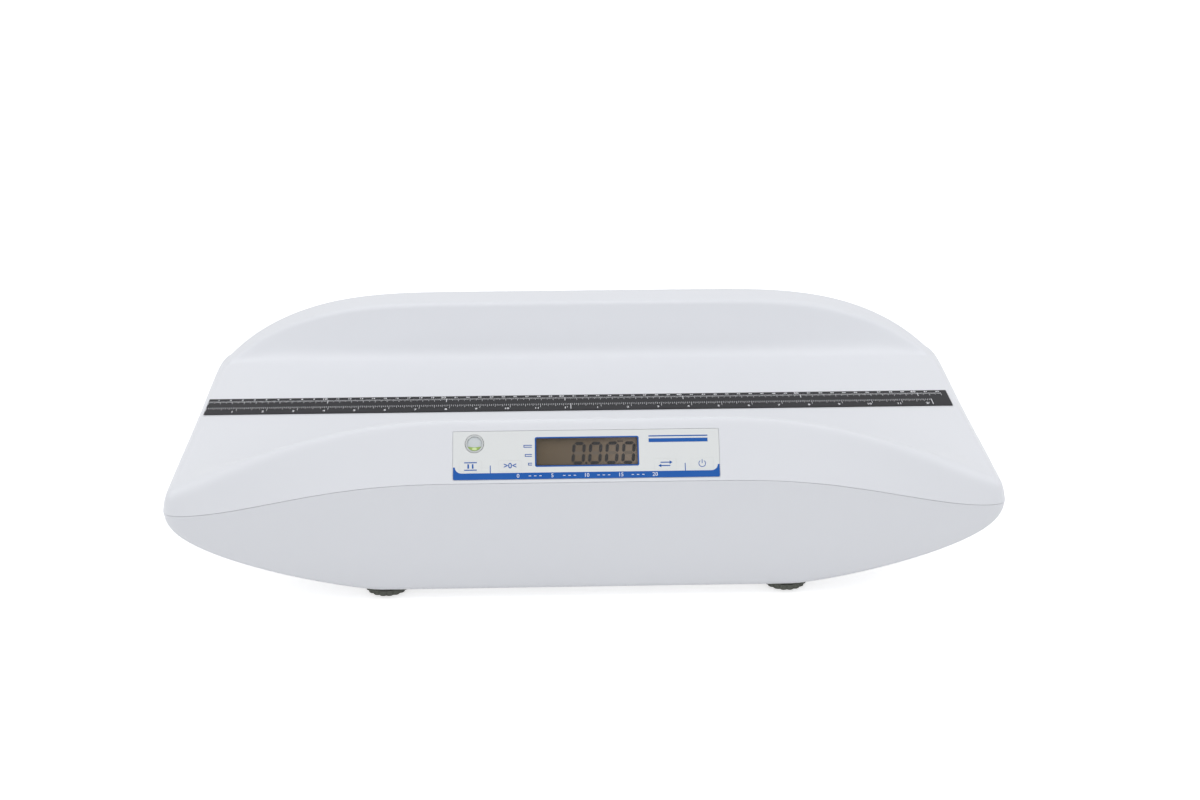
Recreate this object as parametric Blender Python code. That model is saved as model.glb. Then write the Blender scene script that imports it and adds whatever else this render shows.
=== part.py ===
"""A digital baby weighing scale: a cradle tray on a hull-shaped base with a sloping key panel."""

import math

import bmesh
import bpy
from mathutils import Matrix, Vector

MM = 0.001

# Overall body
length = 648 * MM
depth = 322 * MM
floor_height = 95 * MM
wall = 2.6 * MM
touch_gap = 0.3 * MM
cut_overrun = 4 * MM

# Cradle tray: its sections are cut across the length
end_roll = 11.5 * MM
flat_centre_length = 210 * MM
crest_rise = 49 * MM
rear_rise = 44.3 * MM
floor_sag = 2.4 * MM
crest_setback = 36.5 * MM
crest_end_setback = 8 * MM
front_foot_setback = 60 * MM
rear_wall_run = 17 * MM
rear_end_run = 7 * MM
rim_width = 37 * MM
skirt_lean = 1.5 * MM
crest_round = 12 * MM
foot_round = 12 * MM
rim_inner_round = 5 * MM
rim_outer_round = 8 * MM
crest_power_share = 2.0
rear_power_share = 3.2
front_corner_share = 40
rear_corner_share = 6.5
longest_share = 0.9995
least_round_share = 0.15
turn_share = 0.45
roll_steps = 5
side_stations = 13
station_power_share = 1.5

# Seam between the tray and the base
seam_height = 102 * MM
seam_end_height = 77.4 * MM
seam_power_share = 1.4
seam_flat_share = 0.9

# Base shell
base_clearance = 6.9 * MM
base_flat_length = 322 * MM
base_corner_round = 6 * MM
base_lean = 4 * MM
base_rise_power_share = 1.25
base_round_power_share = 0.54
end_web = 3.4 * MM

# Panel on the sloping front face
panel_width = 202.6 * MM
panel_height = 38.2 * MM
panel_margin = 2.8 * MM
film_corner = 1 * MM
film = 0.5 * MM
window_width = 77.6 * MM
window_height = 21.9 * MM
window_offset = 0.5 * MM
window_lift = 2.3 * MM
glass = 1.6 * MM
window_shelf = 1.5 * MM
lcd_border = 4 * MM
lcd_thick = 2.8 * MM
holder_wall = 2 * MM
vial_radius = 7 * MM
vial_offset = -85 * MM
vial_lift = 9.4 * MM
vial_depth = 6 * MM
vial_flange = 1.2 * MM
key_width = 17 * MM
key_height = 8.5 * MM
key_drop = 8.4 * MM
key_gap = 0.3 * MM
key_travel = 0.6 * MM
stem_radius = 2.0 * MM
key_offsets = {
    "key_hold": -88 * MM,
    "key_zero": -58 * MM,
    "key_unit": 60 * MM,
    "key_power": 88 * MM,
}

# Electronics behind the panel
board_setback = 12 * MM
board_width = 194 * MM
board_height = 34 * MM
board_thick = 1.6 * MM
switch_side = 6 * MM
switch_rise = 4.3 * MM
plunger_rise = 1.4 * MM
plunger_radius = 1.7 * MM
chip_height = 1.8 * MM
chip_side = 14 * MM
board_screw_radius = 1.5 * MM
board_screw_depth = 6 * MM
board_head = 1.4 * MM
board_screw_offset = 73 * MM
board_screw_lift = 12 * MM
post_radius = 3.2 * MM

# Feet and load cells
foot_spacing = 313.6 * MM
foot_setback = 23 * MM
wheel_radius = 17.2 * MM
wheel_height = 4.4 * MM
wheel_lobes = 18
lobe_depth = 1.1 * MM
lobe_steps = 4
lobe_power_share = 0.7
pad_radius = 13 * MM
pad_height = 1.6 * MM
stud_radius = 4 * MM
stud_length = 22 * MM
cell_side = 30 * MM
cell_thick = 3 * MM
cell_rise = 11 * MM
cell_slot = 2.4 * MM
boss_radius = 3.4 * MM

# Battery bay in the base
bay_length = 108 * MM
bay_width = 49 * MM
bay_wall = 1.6 * MM
bay_setback = 14 * MM
cell_radius = 7.1 * MM
bay_height = 2 * cell_radius + 2 * touch_gap + bay_wall
cell_rows = 3
cell_length = 49.5 * MM
cell_cap_radius = 2.7 * MM
cell_cap_length = 1.2 * MM
door_thick = 2.2 * MM
door_gap = 0.5 * MM
hinge_pin_radius = 1.1 * MM
hinge_pin_length = 3 * MM
pin_share = 0.8

# Contacts in the bay
contact_thick = 1.4 * MM
contact_side = 9 * MM

# Posts that carry the tray on the base, and their screws
post_offset = 118 * MM
post_setback = 69 * MM
tall_post_radius = 5 * MM
shell_screw_radius = 1.8 * MM
shell_screw_head = 3.6 * MM
shell_screw_length = 16 * MM
head_height = 2.2 * MM

# Mains adapter jack in the rear of the base
jack_width = 9 * MM
jack_height = 11 * MM
jack_length = 13 * MM
jack_offset = 60 * MM
jack_lift = 48 * MM
jack_bore_radius = 3.2 * MM
jack_bore_depth = 9 * MM
jack_pin_radius = 1 * MM
jack_pin_setback = 5 * MM
jack_recess = 2 * MM

# Leads, and the lanes that they keep to
lead_radius = 0.9 * MM
lead_bevel_resolution = 2
lead_wall_setback = 7.5 * MM
lead_rise_low = 34 * MM
lead_rise_high = 80 * MM
lead_approach = 8 * MM
lead_first_end = 36 * MM
lead_second_end = 30 * MM
lead_front_setback = 24 * MM
lead_bend = 14 * MM
lead_lane_pitch = 9 * MM
rear_lead_lane = 98 * MM
jack_lead_lane = 76 * MM

# Ruler tape along the tray floor
tape_overhang = 0.5 * MM
tape_width = 31 * MM
tape_thick = 0.5 * MM
tape_front_offset = -9.5 * MM
tape_side_offset = -2.2 * MM
tape_floor_slack = 1 * MM

half_length = length / 2
half_depth = depth / 2
half_cradle = half_length - end_roll
half_flat = flat_centre_length / 2


def clear_scene():
    for item in list(bpy.data.objects):
        bpy.data.objects.remove(item, do_unlink=True)


def material(name, colour, roughness=0.5, metallic=0.0):
    shade = bpy.data.materials.new(name)
    shade.use_nodes = True
    shader = shade.node_tree.nodes["Principled BSDF"]
    shader.inputs["Base Color"].default_value = (*colour, 1.0)
    shader.inputs["Roughness"].default_value = roughness
    shader.inputs["Metallic"].default_value = metallic
    return shade


def node_from(bm, name, colour, roughness=0.5, metallic=0.0, place=None):
    """Turn a bmesh, modelled about its own origin, into an object at a place."""
    bmesh.ops.recalc_face_normals(bm, faces=bm.faces)
    if bm.calc_volume(signed=True) < 0:
        bmesh.ops.reverse_faces(bm, faces=bm.faces)
    mesh = bpy.data.meshes.new(name)
    bm.to_mesh(mesh)
    bm.free()
    mesh.materials.append(material(name, colour, roughness, metallic))
    item = bpy.data.objects.new(name, mesh)
    bpy.context.scene.collection.objects.link(item)
    if place is not None:
        item.matrix_world = place
    return item


def cut(item, bm, place=None):
    """Cut a hidden solid out of an object."""
    tool = node_from(bm, item.name + "_cutter", (1, 0, 0), place=place)
    tool.hide_render = True
    tool.display_type = "WIRE"
    change = item.modifiers.new("cut", "BOOLEAN")
    change.operation = "DIFFERENCE"
    change.solver = "EXACT"
    change.use_self = True
    change.object = tool


def fuse(item, bm, place=None):
    """Join a hidden solid to an object."""
    tool = node_from(bm, item.name + "_joined", (0, 1, 0), place=place)
    tool.hide_render = True
    tool.display_type = "WIRE"
    change = item.modifiers.new("fuse", "BOOLEAN")
    change.operation = "UNION"
    change.solver = "EXACT"
    change.use_self = True
    change.object = tool


def add_box(bm, size, centre=(0, 0, 0)):
    where = Matrix.Translation(Vector(centre)) @ Matrix.Diagonal((*size, 1))
    bmesh.ops.create_cube(bm, size=1, matrix=where)


def add_cylinder(bm, radius, low, high, centre=(0, 0), sides=20, top_radius=None):
    """A cylinder or cone along Z between two heights."""
    middle = Vector((centre[0], centre[1], (low + high) / 2))
    top = radius if top_radius is None else top_radius
    bmesh.ops.create_cone(
        bm, cap_ends=True, segments=sides, radius1=radius, radius2=top,
        depth=high - low, matrix=Matrix.Translation(middle),
    )


def add_prism(bm, outline, low, high):
    """A closed outline in XY, raised between two heights."""
    floor = [bm.verts.new((x, y, low)) for x, y in outline]
    roof = [bm.verts.new((x, y, high)) for x, y in outline]
    bm.faces.new(list(reversed(floor)))
    bm.faces.new(roof)
    count = len(outline)
    for i in range(count):
        j = (i + 1) % count
        bm.faces.new((floor[i], floor[j], roof[j], roof[i]))


def rounded_rectangle(width, height, radius, steps=4):
    points = []
    corners = ((1, 1), (-1, 1), (-1, -1), (1, -1))
    for quarter, (sx, sy) in enumerate(corners):
        cx = sx * (width / 2 - radius)
        cy = sy * (height / 2 - radius)
        for i in range(steps + 1):
            turn = math.pi / 2 * (quarter + i / steps)
            points.append((cx + radius * math.cos(turn), cy + radius * math.sin(turn)))
    return points


def rounded_path(corners, steps=4):
    """A path through corners of (y, z, cut back), each turned by a quadratic curve."""
    points = [Vector(corners[0][:2])]
    for i in range(1, len(corners) - 1):
        here = Vector(corners[i][:2])
        before = Vector(corners[i - 1][:2]) - here
        after = Vector(corners[i + 1][:2]) - here
        back = min(corners[i][2], turn_share * before.length, turn_share * after.length)
        start = here + before.normalized() * back
        end = here + after.normalized() * back
        for k in range(steps + 1):
            t = k / steps
            points.append(start * (1 - t) ** 2 + here * 2 * t * (1 - t) + end * t**2)
    points.append(Vector(corners[-1][:2]))
    return points


def inset_corners(corners, distance):
    """The corners of a path moved to its right, its two ends kept at their height."""
    points = [Vector(corner[:2]) for corner in corners]
    ways = [(b - a).normalized() for a, b in zip(points, points[1:])]
    sides = [Vector((way.y, -way.x)) for way in ways]
    moved = []
    for i, point in enumerate(points):
        if i in (0, len(points) - 1):
            way, side = (ways[0], sides[0]) if i == 0 else (ways[-1], sides[-1])
            reach = point + side * distance
            reach = reach + way * (point.y - reach.y) / way.y
            moved.append((reach.x, reach.y, 0))
            continue
        mean = (sides[i - 1] + sides[i]).normalized()
        reach = point + mean * distance / mean.dot(sides[i])
        bend = math.tan(ways[i - 1].angle_signed(ways[i]) / 2)
        back = max(corners[i][2] - bend * distance, corners[i][2] * least_round_share)
        moved.append((reach.x, reach.y, back))
    return moved


# Curves that the shells share

def centre_fall(x, half_end, power):
    """0 along the flat centre of the panel, rising to 1 where the cradle ends."""
    run = max(0.0, abs(x) - half_flat) / (half_end - half_flat)
    return min(1.0, run) ** power


def crest_height(x):
    return crest_rise * (1 - centre_fall(x, half_cradle, crest_power_share))


def rear_height(x):
    return rear_rise * (1 - centre_fall(x, half_cradle, rear_power_share))


def seam_z(x):
    seam_start = half_flat * seam_flat_share
    run = min(1.0, max(0.0, abs(x) - seam_start) / (half_cradle - seam_start))
    late = run**seam_power_share
    fall = late * late * (3 - 2 * late)
    return seam_height - (seam_height - seam_end_height) * fall


def plan_share(x, y):
    """How much of the full depth the body keeps at a place along its length, front or rear."""
    power = front_corner_share if y < 0 else rear_corner_share
    run = min(abs(x) / half_length, longest_share)
    return (1 - run**power) ** (1 / power)


def base_z(x):
    half = base_flat_length / 2
    run = min(1.0, max(0.0, abs(x) - half) / (half_length - half))
    climb = 1 - (1 - run**base_rise_power_share) ** base_round_power_share
    return base_clearance + (seam_end_height - end_web - base_clearance) * climb


def stations(half):
    """Places along the length: the flat centre's ends, and closer together toward the ends."""
    side = []
    for i in range(side_stations + 1):
        run = 1 - (1 - i / side_stations) ** station_power_share
        side.append(half_flat + (half - half_flat) * run)
    return [-x for x in reversed(side)] + [0.0] + side


def tray_section(x, inset=0):
    """The tray's line from the front seam over the cradle to the rear seam."""
    fall = 1 - crest_height(x) / crest_rise
    crest_back = crest_setback + (crest_end_setback - crest_setback) * fall
    rear_share = rear_height(x) / rear_rise
    rear_run = rear_end_run + (rear_wall_run - rear_end_run) * rear_share
    rear_foot = half_depth - rim_width - rear_run
    corners = (
        (-half_depth, seam_z(x), 0),
        (-half_depth + crest_back, floor_height + crest_height(x), crest_round),
        (-half_depth + front_foot_setback, floor_height, foot_round),
        (0, floor_height - floor_sag, rear_foot),
        (rear_foot, floor_height, foot_round),
        (half_depth - rim_width, floor_height + rear_height(x), rim_inner_round),
        (half_depth - skirt_lean, floor_height + rear_height(x), rim_outer_round),
        (half_depth, seam_z(x), 0),
    )
    corners = [(y * plan_share(x, y), z, back) for y, z, back in corners]
    return rounded_path(inset_corners(corners, inset) if inset else corners)


def base_section(x, inset):
    """The base's line from the front seam under the belly to the rear seam."""
    top = seam_z(x) - touch_gap
    low = min(base_z(x) + inset, top - touch_gap)
    side = half_depth - inset
    corners = (
        (-side, top, 0),
        (-side + base_lean, low, base_corner_round),
        (side - base_lean, low, base_corner_round),
        (side, top, 0),
    )
    corners = [(y * plan_share(x, y), z, back) for y, z, back in corners]
    return rounded_path(corners, steps=6)


def shell_from(outer_rows, inner_rows, name, colour, roughness):
    """A closed shell between two grids of points that share their open edge."""
    bm = bmesh.new()
    grids = [[[bm.verts.new(p) for p in row] for row in rows] for rows in (outer_rows, inner_rows)]
    outer, inner = grids
    last_row = len(outer) - 1
    last_point = len(outer[0]) - 1
    for grid in grids:
        for i in range(last_row):
            for j in range(last_point):
                bm.faces.new((grid[i][j], grid[i + 1][j], grid[i + 1][j + 1], grid[i][j + 1]))
    for i in range(last_row):
        for j in (0, last_point):
            bm.faces.new((outer[i][j], outer[i + 1][j], inner[i + 1][j], inner[i][j]))
    for j in range(last_point):
        for i in (0, last_row):
            bm.faces.new((outer[i][j], outer[i][j + 1], inner[i][j + 1], inner[i][j]))
    item = node_from(bm, name, colour, roughness)
    return item


def tray_rows(inset):
    """The cradle's sections, then the rolled ends that fall to the seam."""
    rows = []
    for x in stations(half_cradle):
        rows.append([(x, point.x, point.y) for point in tray_section(x, inset)])
    run = half_length - half_cradle
    base_height = seam_z(half_cradle)
    for side, end in ((-1, 0), (1, -1)):
        edge = list(rows[end])
        for k in range(1, roll_steps + 1):
            turn = math.pi / 2 * k / roll_steps
            x = half_cradle + (run - inset) * math.sin(turn)
            full = half_cradle + run * math.sin(turn)
            row = [
                (side * x, y * plan_share(full, y) / plan_share(half_cradle, y),
                 base_height + (z - base_height) * math.cos(turn))
                for _, y, z in edge
            ]
            rows = [row] + rows if side < 0 else rows + [row]
    return rows


def base_rows(inset):
    """The belly's sections, closed at both ends up to the seam."""
    rows = []
    squeeze = (half_length - inset) / half_length
    for x in stations(half_length):
        path = base_section(x, inset)
        rows.append([(x * squeeze, point.x, point.y) for point in path])
    for end in (0, -1):
        top = rows[end][0][2]
        rows[end] = [(x, y, top) for x, y, _ in rows[end]]
    return rows


# Panel frame: X along the panel, Y up its slope, Z out of it

slope = Vector((0, crest_setback, floor_height + crest_rise - seam_height)).normalized()
outward = Vector((1, 0, 0)).cross(slope)
panel_middle = Vector((0, -half_depth, seam_height)) + slope * (panel_margin + panel_height / 2)
panel_place = Matrix((
    (1, slope.x, outward.x, panel_middle.x),
    (0, slope.y, outward.y, panel_middle.y),
    (0, slope.z, outward.z, panel_middle.z),
    (0, 0, 0, 1),
))
film_floor = -(film + touch_gap)
pane_low = film_floor - glass
board_places = [
    (sx * board_screw_offset, sy * board_screw_lift) for sx in (-1, 1) for sy in (-1, 1)
]
cell_places = [
    (sx * foot_spacing / 2, sy * (half_depth - foot_setback)) for sx in (-1, 1) for sy in (-1, 1)
]
white = (0.86, 0.87, 0.89)
dark = (0.05, 0.05, 0.055)
steel = (0.6, 0.6, 0.62)

post_places = [
    (sx * post_offset, sy * (half_depth - post_setback)) for sx in (-1, 1) for sy in (-1, 1)
]
base_inside = base_clearance + wall


def tray_shell():
    item = shell_from(tray_rows(0), tray_rows(wall), "tray_shell", white, 0.3)
    posts = bmesh.new()
    for x, y in post_places:
        add_cylinder(posts, tall_post_radius, base_inside + touch_gap, floor_height - wall, (x, y), 16)
    fuse(item, posts)
    pegs = bmesh.new()
    for x, y in board_places:
        add_cylinder(pegs, post_radius, touch_gap - board_setback, -wall / 2 - film, (x, y), 14)
    fuse(item, pegs, panel_place)
    holes = bmesh.new()
    add_prism(
        holes, rounded_rectangle(panel_width + 2 * touch_gap, panel_height + 2 * touch_gap, film_corner),
        film_floor, cut_overrun,
    )
    cut(item, holes, panel_place)
    wells = bmesh.new()
    pane_gap = 2 * (window_shelf + touch_gap)
    add_box(
        wells, (window_width + pane_gap, window_height + pane_gap, wall + cut_overrun),
        (window_offset, window_lift, -(wall + cut_overrun) / 2),
    )
    add_cylinder(
        wells, vial_radius + touch_gap, -wall - cut_overrun, 0, (vial_offset, vial_lift), 32,
    )
    for x in key_offsets.values():
        add_cylinder(wells, stem_radius + touch_gap, -wall - cut_overrun, 0, (x, -key_drop), 14)
    cut(item, wells, panel_place)
    sinks = bmesh.new()
    for x in key_offsets.values():
        add_box(
            sinks, (key_width + 2 * key_gap, key_height + 2 * key_gap, cut_overrun),
            (x, -key_drop, film_floor - key_travel + cut_overrun / 2),
        )
    cut(item, sinks, panel_place)
    pilots = bmesh.new()
    for x, y in post_places:
        add_cylinder(
            pilots, shell_screw_radius + touch_gap, base_inside - cut_overrun,
            base_inside + shell_screw_length, (x, y), 12,
        )
    cut(item, pilots)
    taps = bmesh.new()
    for x, y in board_places:
        add_cylinder(
            taps, board_screw_radius + touch_gap, -board_setback - cut_overrun,
            -board_setback + board_screw_depth, (x, y), 10,
        )
    cut(item, taps, panel_place)
    return item



def panel_overlay():
    bm = bmesh.new()
    add_prism(bm, rounded_rectangle(panel_width, panel_height, film_corner), -film, 0)
    item = node_from(bm, "panel_overlay", (0.85, 0.87, 0.87), 0.35, place=panel_place)
    holes = bmesh.new()
    add_box(
        holes, (window_width, window_height, cut_overrun), (window_offset, window_lift, 0),
    )
    add_cylinder(
        holes, vial_radius + touch_gap, -cut_overrun, cut_overrun, (vial_offset, vial_lift), 32,
    )
    for x in key_offsets.values():
        add_box(
            holes, (key_width + 2 * key_gap, key_height + 2 * key_gap, cut_overrun),
            (x, -key_drop, 0),
        )
    cut(item, holes, panel_place)
    return item


def keys():
    for name, x in key_offsets.items():
        bm = bmesh.new()
        add_box(bm, (key_width, key_height, film), (0, 0, -film / 2))
        place = panel_place @ Matrix.Translation((x, -key_drop, 0))
        item = node_from(bm, name, (0.85, 0.87, 0.87), 0.35, place=place)
        stem = bmesh.new()
        reach = board_setback - switch_rise - touch_gap - key_travel
        add_cylinder(stem, stem_radius, -reach, -film / 2, sides=12)
        fuse(item, stem, place)


def display():
    bm = bmesh.new()
    middle = (window_offset, window_lift, film_floor - glass / 2)
    rim = 2 * window_shelf
    add_box(bm, (window_width + rim, window_height + rim, glass), middle)
    node_from(bm, "lcd_window", (0.75, 0.78, 0.78), 0.08, place=panel_place)
    bm = bmesh.new()
    lcd_top = -max(wall, -pane_low) - touch_gap
    lcd_size = (window_width + lcd_border, window_height + lcd_border)
    add_box(bm, (*lcd_size, lcd_thick), (window_offset, window_lift, lcd_top - lcd_thick / 2))
    node_from(bm, "lcd_module", (0.45, 0.42, 0.36), 0.25, place=panel_place)
    bm = bmesh.new()
    top = lcd_top - lcd_thick - touch_gap
    low = touch_gap - board_setback
    middle = (window_offset, window_lift, (top + low) / 2)
    add_box(bm, (*lcd_size, top - low), middle)
    item = node_from(bm, "lcd_holder", dark, 0.6, place=panel_place)
    bm = bmesh.new()
    inner = [side - 2 * holder_wall for side in lcd_size]
    add_box(bm, (*inner, top - low + cut_overrun), middle)
    cut(item, bm, panel_place)



def level():
    place = panel_place @ Matrix.Translation((vial_offset, vial_lift, 0))
    bm = bmesh.new()
    add_cylinder(bm, vial_radius, -vial_depth, 0, sides=32)
    item = node_from(bm, "level_cup", (0.85, 0.87, 0.87), 0.3, place=place)
    bm = bmesh.new()
    bore = vial_radius - vial_flange
    add_cylinder(bm, bore, vial_flange - vial_depth, cut_overrun, sides=32)
    cut(item, bm, place)
    bm = bmesh.new()
    disc = bore - touch_gap
    lens_low = -vial_flange
    add_cylinder(bm, disc, vial_flange + touch_gap - vial_depth, lens_low - touch_gap, sides=32)
    node_from(bm, "level_liquid", (0.62, 0.85, 0.35), 0.1, place=place)
    bm = bmesh.new()
    add_cylinder(bm, disc, lens_low, 0, sides=32)
    node_from(bm, "level_lens", (0.9, 0.92, 0.9), 0.05, place=place)


def electronics():
    bm = bmesh.new()
    add_box(
        bm, (board_width, board_height, board_thick), (0, 0, -board_setback - board_thick / 2),
    )
    item = node_from(bm, "main_board", (0.05, 0.25, 0.12), 0.5, place=panel_place)
    bm = bmesh.new()
    for x, y in board_places:
        add_cylinder(
            bm, board_screw_radius + touch_gap, -board_setback - cut_overrun,
            -board_setback + cut_overrun, (x, y), 12,
        )
    cut(item, bm, panel_place)
    under = -board_setback - board_thick - touch_gap
    for number, (x, y) in enumerate(board_places, 1):
        place = panel_place @ Matrix.Translation((x, y, under))
        name = "board_screw_" + str(number)
        reach = board_thick + touch_gap + board_screw_depth
        screw(name, 2 * board_screw_radius, board_head, board_screw_radius, reach, place)
    for name, x in key_offsets.items():
        place = panel_place @ Matrix.Translation((x, -key_drop, -board_setback + touch_gap))
        bm = bmesh.new()
        body = switch_rise - plunger_rise
        add_box(bm, (switch_side, switch_side, body - touch_gap), (0, 0, (body - touch_gap) / 2))
        item = node_from(bm, name.replace("key", "switch"), dark, 0.5, place=place)
        bm = bmesh.new()
        add_cylinder(bm, plunger_radius, body / 2, switch_rise - touch_gap, sides=12)
        fuse(item, bm, place)
    bm = bmesh.new()
    add_box(bm, (chip_side, chip_side, chip_height), (0, 0, under - chip_height / 2))
    node_from(bm, "board_chip", dark, 0.4, place=panel_place)


def screw(name, head_radius, head_height, shank_radius, reach, place):
    """A pan-head screw whose head lies below its origin and whose shank rises from it."""
    bm = bmesh.new()
    add_cylinder(bm, head_radius, -head_height, 0, sides=16)
    item = node_from(bm, name, steel, 0.3, 1.0, place=place)
    bm = bmesh.new()
    add_cylinder(bm, shank_radius, -head_height / 2, reach, sides=12)
    fuse(item, bm, place)


def lobed_outline(radius, depth_of_lobe, lobes):
    points = []
    count = lobes * lobe_steps
    for i in range(count):
        turn = 2 * math.pi * i / count
        reach = radius - depth_of_lobe * (1 - abs(math.cos(lobes * turn / 2)) ** lobe_power_share)
        points.append((reach * math.cos(turn), reach * math.sin(turn)))
    return points


def feet():
    """Each foot is a rubber pad below a wheel whose stud screws into its load cell."""
    corner_names = ("front_left", "rear_left", "front_right", "rear_right")
    for (x, y), corner in zip(cell_places, corner_names):
        bm = bmesh.new()
        add_cylinder(bm, pad_radius, 0, pad_height, sides=28)
        place = Matrix.Translation((x, y, 0))
        node_from(bm, "foot_pad_" + corner, (0.09, 0.09, 0.08), 0.9, place=place)
        bm = bmesh.new()
        low = pad_height + touch_gap
        add_prism(bm, lobed_outline(wheel_radius, lobe_depth, wheel_lobes), low, low + wheel_height)
        wheel = node_from(bm, "foot_wheel_" + corner, (0.16, 0.16, 0.14), 0.6, place=place)
        bm = bmesh.new()
        add_cylinder(bm, stud_radius, low + wheel_height / 2, low + stud_length, sides=20)
        fuse(wheel, bm, place)
        load_cell(x, y, corner)


def load_cell(x, y, corner):
    """A flat plate sprung by a slot that leaves a tongue for the foot's stud."""
    bm = bmesh.new()
    low = base_inside + cell_rise
    add_box(bm, (cell_side, cell_side, cell_thick), (x, y, low + cell_thick / 2))
    item = node_from(bm, "load_cell_" + corner, steel, 0.35, 1.0)
    hole = bmesh.new()
    add_cylinder(hole, stud_radius + touch_gap, low - cut_overrun, low + cell_thick + cut_overrun, (x, y))
    cut(item, hole)
    slots = bmesh.new()
    reach = stud_radius + 2 * cell_slot
    for side in (-1, 1):
        add_box(
            slots, (cell_slot, 2 * reach + cell_slot, cell_thick + cut_overrun),
            (x + side * reach, y, low + cell_thick / 2),
        )
    cut(item, slots)


def cell_boss_places():
    spread = cell_side / 2 - boss_radius - touch_gap
    return [(x + sx * spread, y + sy * spread)
            for x, y in cell_places for sx in (-1, 1) for sy in (-1, 1)]


def base_shell():
    item = shell_from(base_rows(0), base_rows(wall), "base_shell", white, 0.35)
    bosses = bmesh.new()
    boss_top = base_inside + cell_rise - touch_gap
    for x, y in cell_boss_places():
        add_cylinder(bosses, boss_radius, base_inside - wall / 2, boss_top, (x, y), 12)
    fuse(item, bosses)
    holes = bmesh.new()
    for x, y in cell_places:
        add_cylinder(
            holes, stud_radius + 2 * touch_gap, base_clearance - cut_overrun,
            base_inside + cut_overrun, (x, y), 20,
        )
    for x, y in post_places:
        add_cylinder(
            holes, shell_screw_radius + touch_gap, base_clearance - cut_overrun,
            base_inside + cut_overrun, (x, y), 14,
        )
    add_box(
        holes, (bay_length + 2 * door_gap, bay_width + 2 * door_gap, wall + cut_overrun),
        (0, bay_setback, base_clearance + wall / 2),
    )
    cut(item, holes)
    pockets = bmesh.new()
    for side in (-1, 1):
        reach = bay_length / 2 + door_gap + (hinge_pin_length - cut_overrun) / 2
        add_box(
            pockets,
            (hinge_pin_length + touch_gap + cut_overrun, 2 * hinge_pin_radius + 2 * touch_gap,
             2 * hinge_pin_radius + 2 * touch_gap),
            (side * reach, hinge_y, hinge_z),
        )
    cut(item, pockets)
    socket = bmesh.new()
    add_box(
        socket, (jack_width + 2 * touch_gap, 3 * cut_overrun, jack_height + 2 * touch_gap),
        (jack_offset, half_depth - cut_overrun, jack_lift),
    )
    cut(item, socket)
    return item


def shell_screws():
    for number, (x, y) in enumerate(post_places, 1):
        place = Matrix.Translation((x, y, base_clearance - touch_gap))
        reach = wall + shell_screw_length
        name = "shell_screw_" + str(number)
        screw(name, shell_screw_head, head_height, shell_screw_radius, reach, place)


hinge_y = bay_setback + bay_width / 2 - door_thick / 2
hinge_z = base_clearance + door_thick / 2
bay_low = base_inside + touch_gap


def battery_bay():
    """A box open below, the cells in it, their contacts and the hinged door."""
    bm = bmesh.new()
    outer_length = bay_length + 2 * (bay_wall + hinge_pin_length + 2 * touch_gap)
    outer_width = bay_width + 2 * (bay_wall + door_gap)
    add_box(bm, (outer_length, outer_width, bay_height), (0, bay_setback, bay_low + bay_height / 2))
    item = node_from(bm, "battery_box", dark, 0.6)
    bm = bmesh.new()
    inner = (bay_length + 2 * contact_thick, bay_width, bay_height)
    add_box(bm, inner, (0, bay_setback, bay_low + bay_height / 2 - bay_wall))
    cut(item, bm)
    seat = bay_low + cell_radius + touch_gap
    turn = Matrix.Rotation(math.pi / 2, 4, "Y")
    for row in range(cell_rows):
        y = bay_setback + (row - (cell_rows - 1) / 2) * (2 * cell_radius + 2 * touch_gap)
        for side in (-1, 1):
            face = 1 if (row + side) % 2 else -1
            x = side * (cell_length + cell_cap_length + touch_gap) / 2
            place = Matrix.Translation((x, y, seat)) @ turn
            bm = bmesh.new()
            half = cell_length / 2
            add_cylinder(bm, cell_radius, -half, half, sides=20)
            name = "battery_" + str(2 * row + (1 if side < 0 else 2))
            cell = node_from(bm, name, (0.12, 0.12, 0.13), 0.35, 0.3, place=place)
            bm = bmesh.new()
            shift = cell_cap_length / 2 - touch_gap / 2
            low, high = sorted((face * half / 2, face * (half + shift)))
            add_cylinder(bm, cell_cap_radius, low, high, sides=12)
            fuse(cell, bm, place)
    for side, name in ((-1, "battery_contact_left"), (1, "battery_contact_right")):
        bm = bmesh.new()
        x = side * (inner[0] / 2 - touch_gap - contact_thick / 4)
        add_box(bm, (contact_thick / 2, bay_width - 2 * touch_gap, contact_side), (x, bay_setback, seat))
        node_from(bm, name, steel, 0.25, 1.0)
    bm = bmesh.new()
    front = bay_setback - bay_width / 2
    plate = hinge_y - front
    add_box(bm, (bay_length, plate, door_thick), (0, front + plate / 2, hinge_z))
    door = node_from(bm, "battery_door", white, 0.35)
    barrel = bmesh.new()
    add_cylinder(barrel, door_thick / 2, -bay_length / 2, bay_length / 2, sides=16)
    hinge_place = Matrix.Translation((0, hinge_y, hinge_z)) @ turn
    fuse(door, barrel, hinge_place)
    pins = bmesh.new()
    pin_reach = bay_length / 2 + door_gap + hinge_pin_length - touch_gap
    add_cylinder(pins, hinge_pin_radius * pin_share, -pin_reach, pin_reach, sides=12)
    fuse(door, pins, hinge_place)


def power_jack():
    bm = bmesh.new()
    back = half_depth - jack_recess
    middle = (jack_offset, back - jack_length / 2, jack_lift)
    add_box(bm, (jack_width, jack_length, jack_height), middle)
    item = node_from(bm, "power_jack", dark, 0.5)
    turn = Matrix.Translation((jack_offset, back, jack_lift)) @ Matrix.Rotation(-math.pi / 2, 4, "X")
    bm = bmesh.new()
    add_cylinder(bm, jack_bore_radius, -jack_bore_depth, cut_overrun, sides=20)
    cut(item, bm, turn)
    bm = bmesh.new()
    add_cylinder(
        bm, jack_pin_radius, -jack_bore_depth - jack_pin_radius, -jack_pin_setback, sides=10,
    )
    fuse(item, bm, turn)


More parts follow.
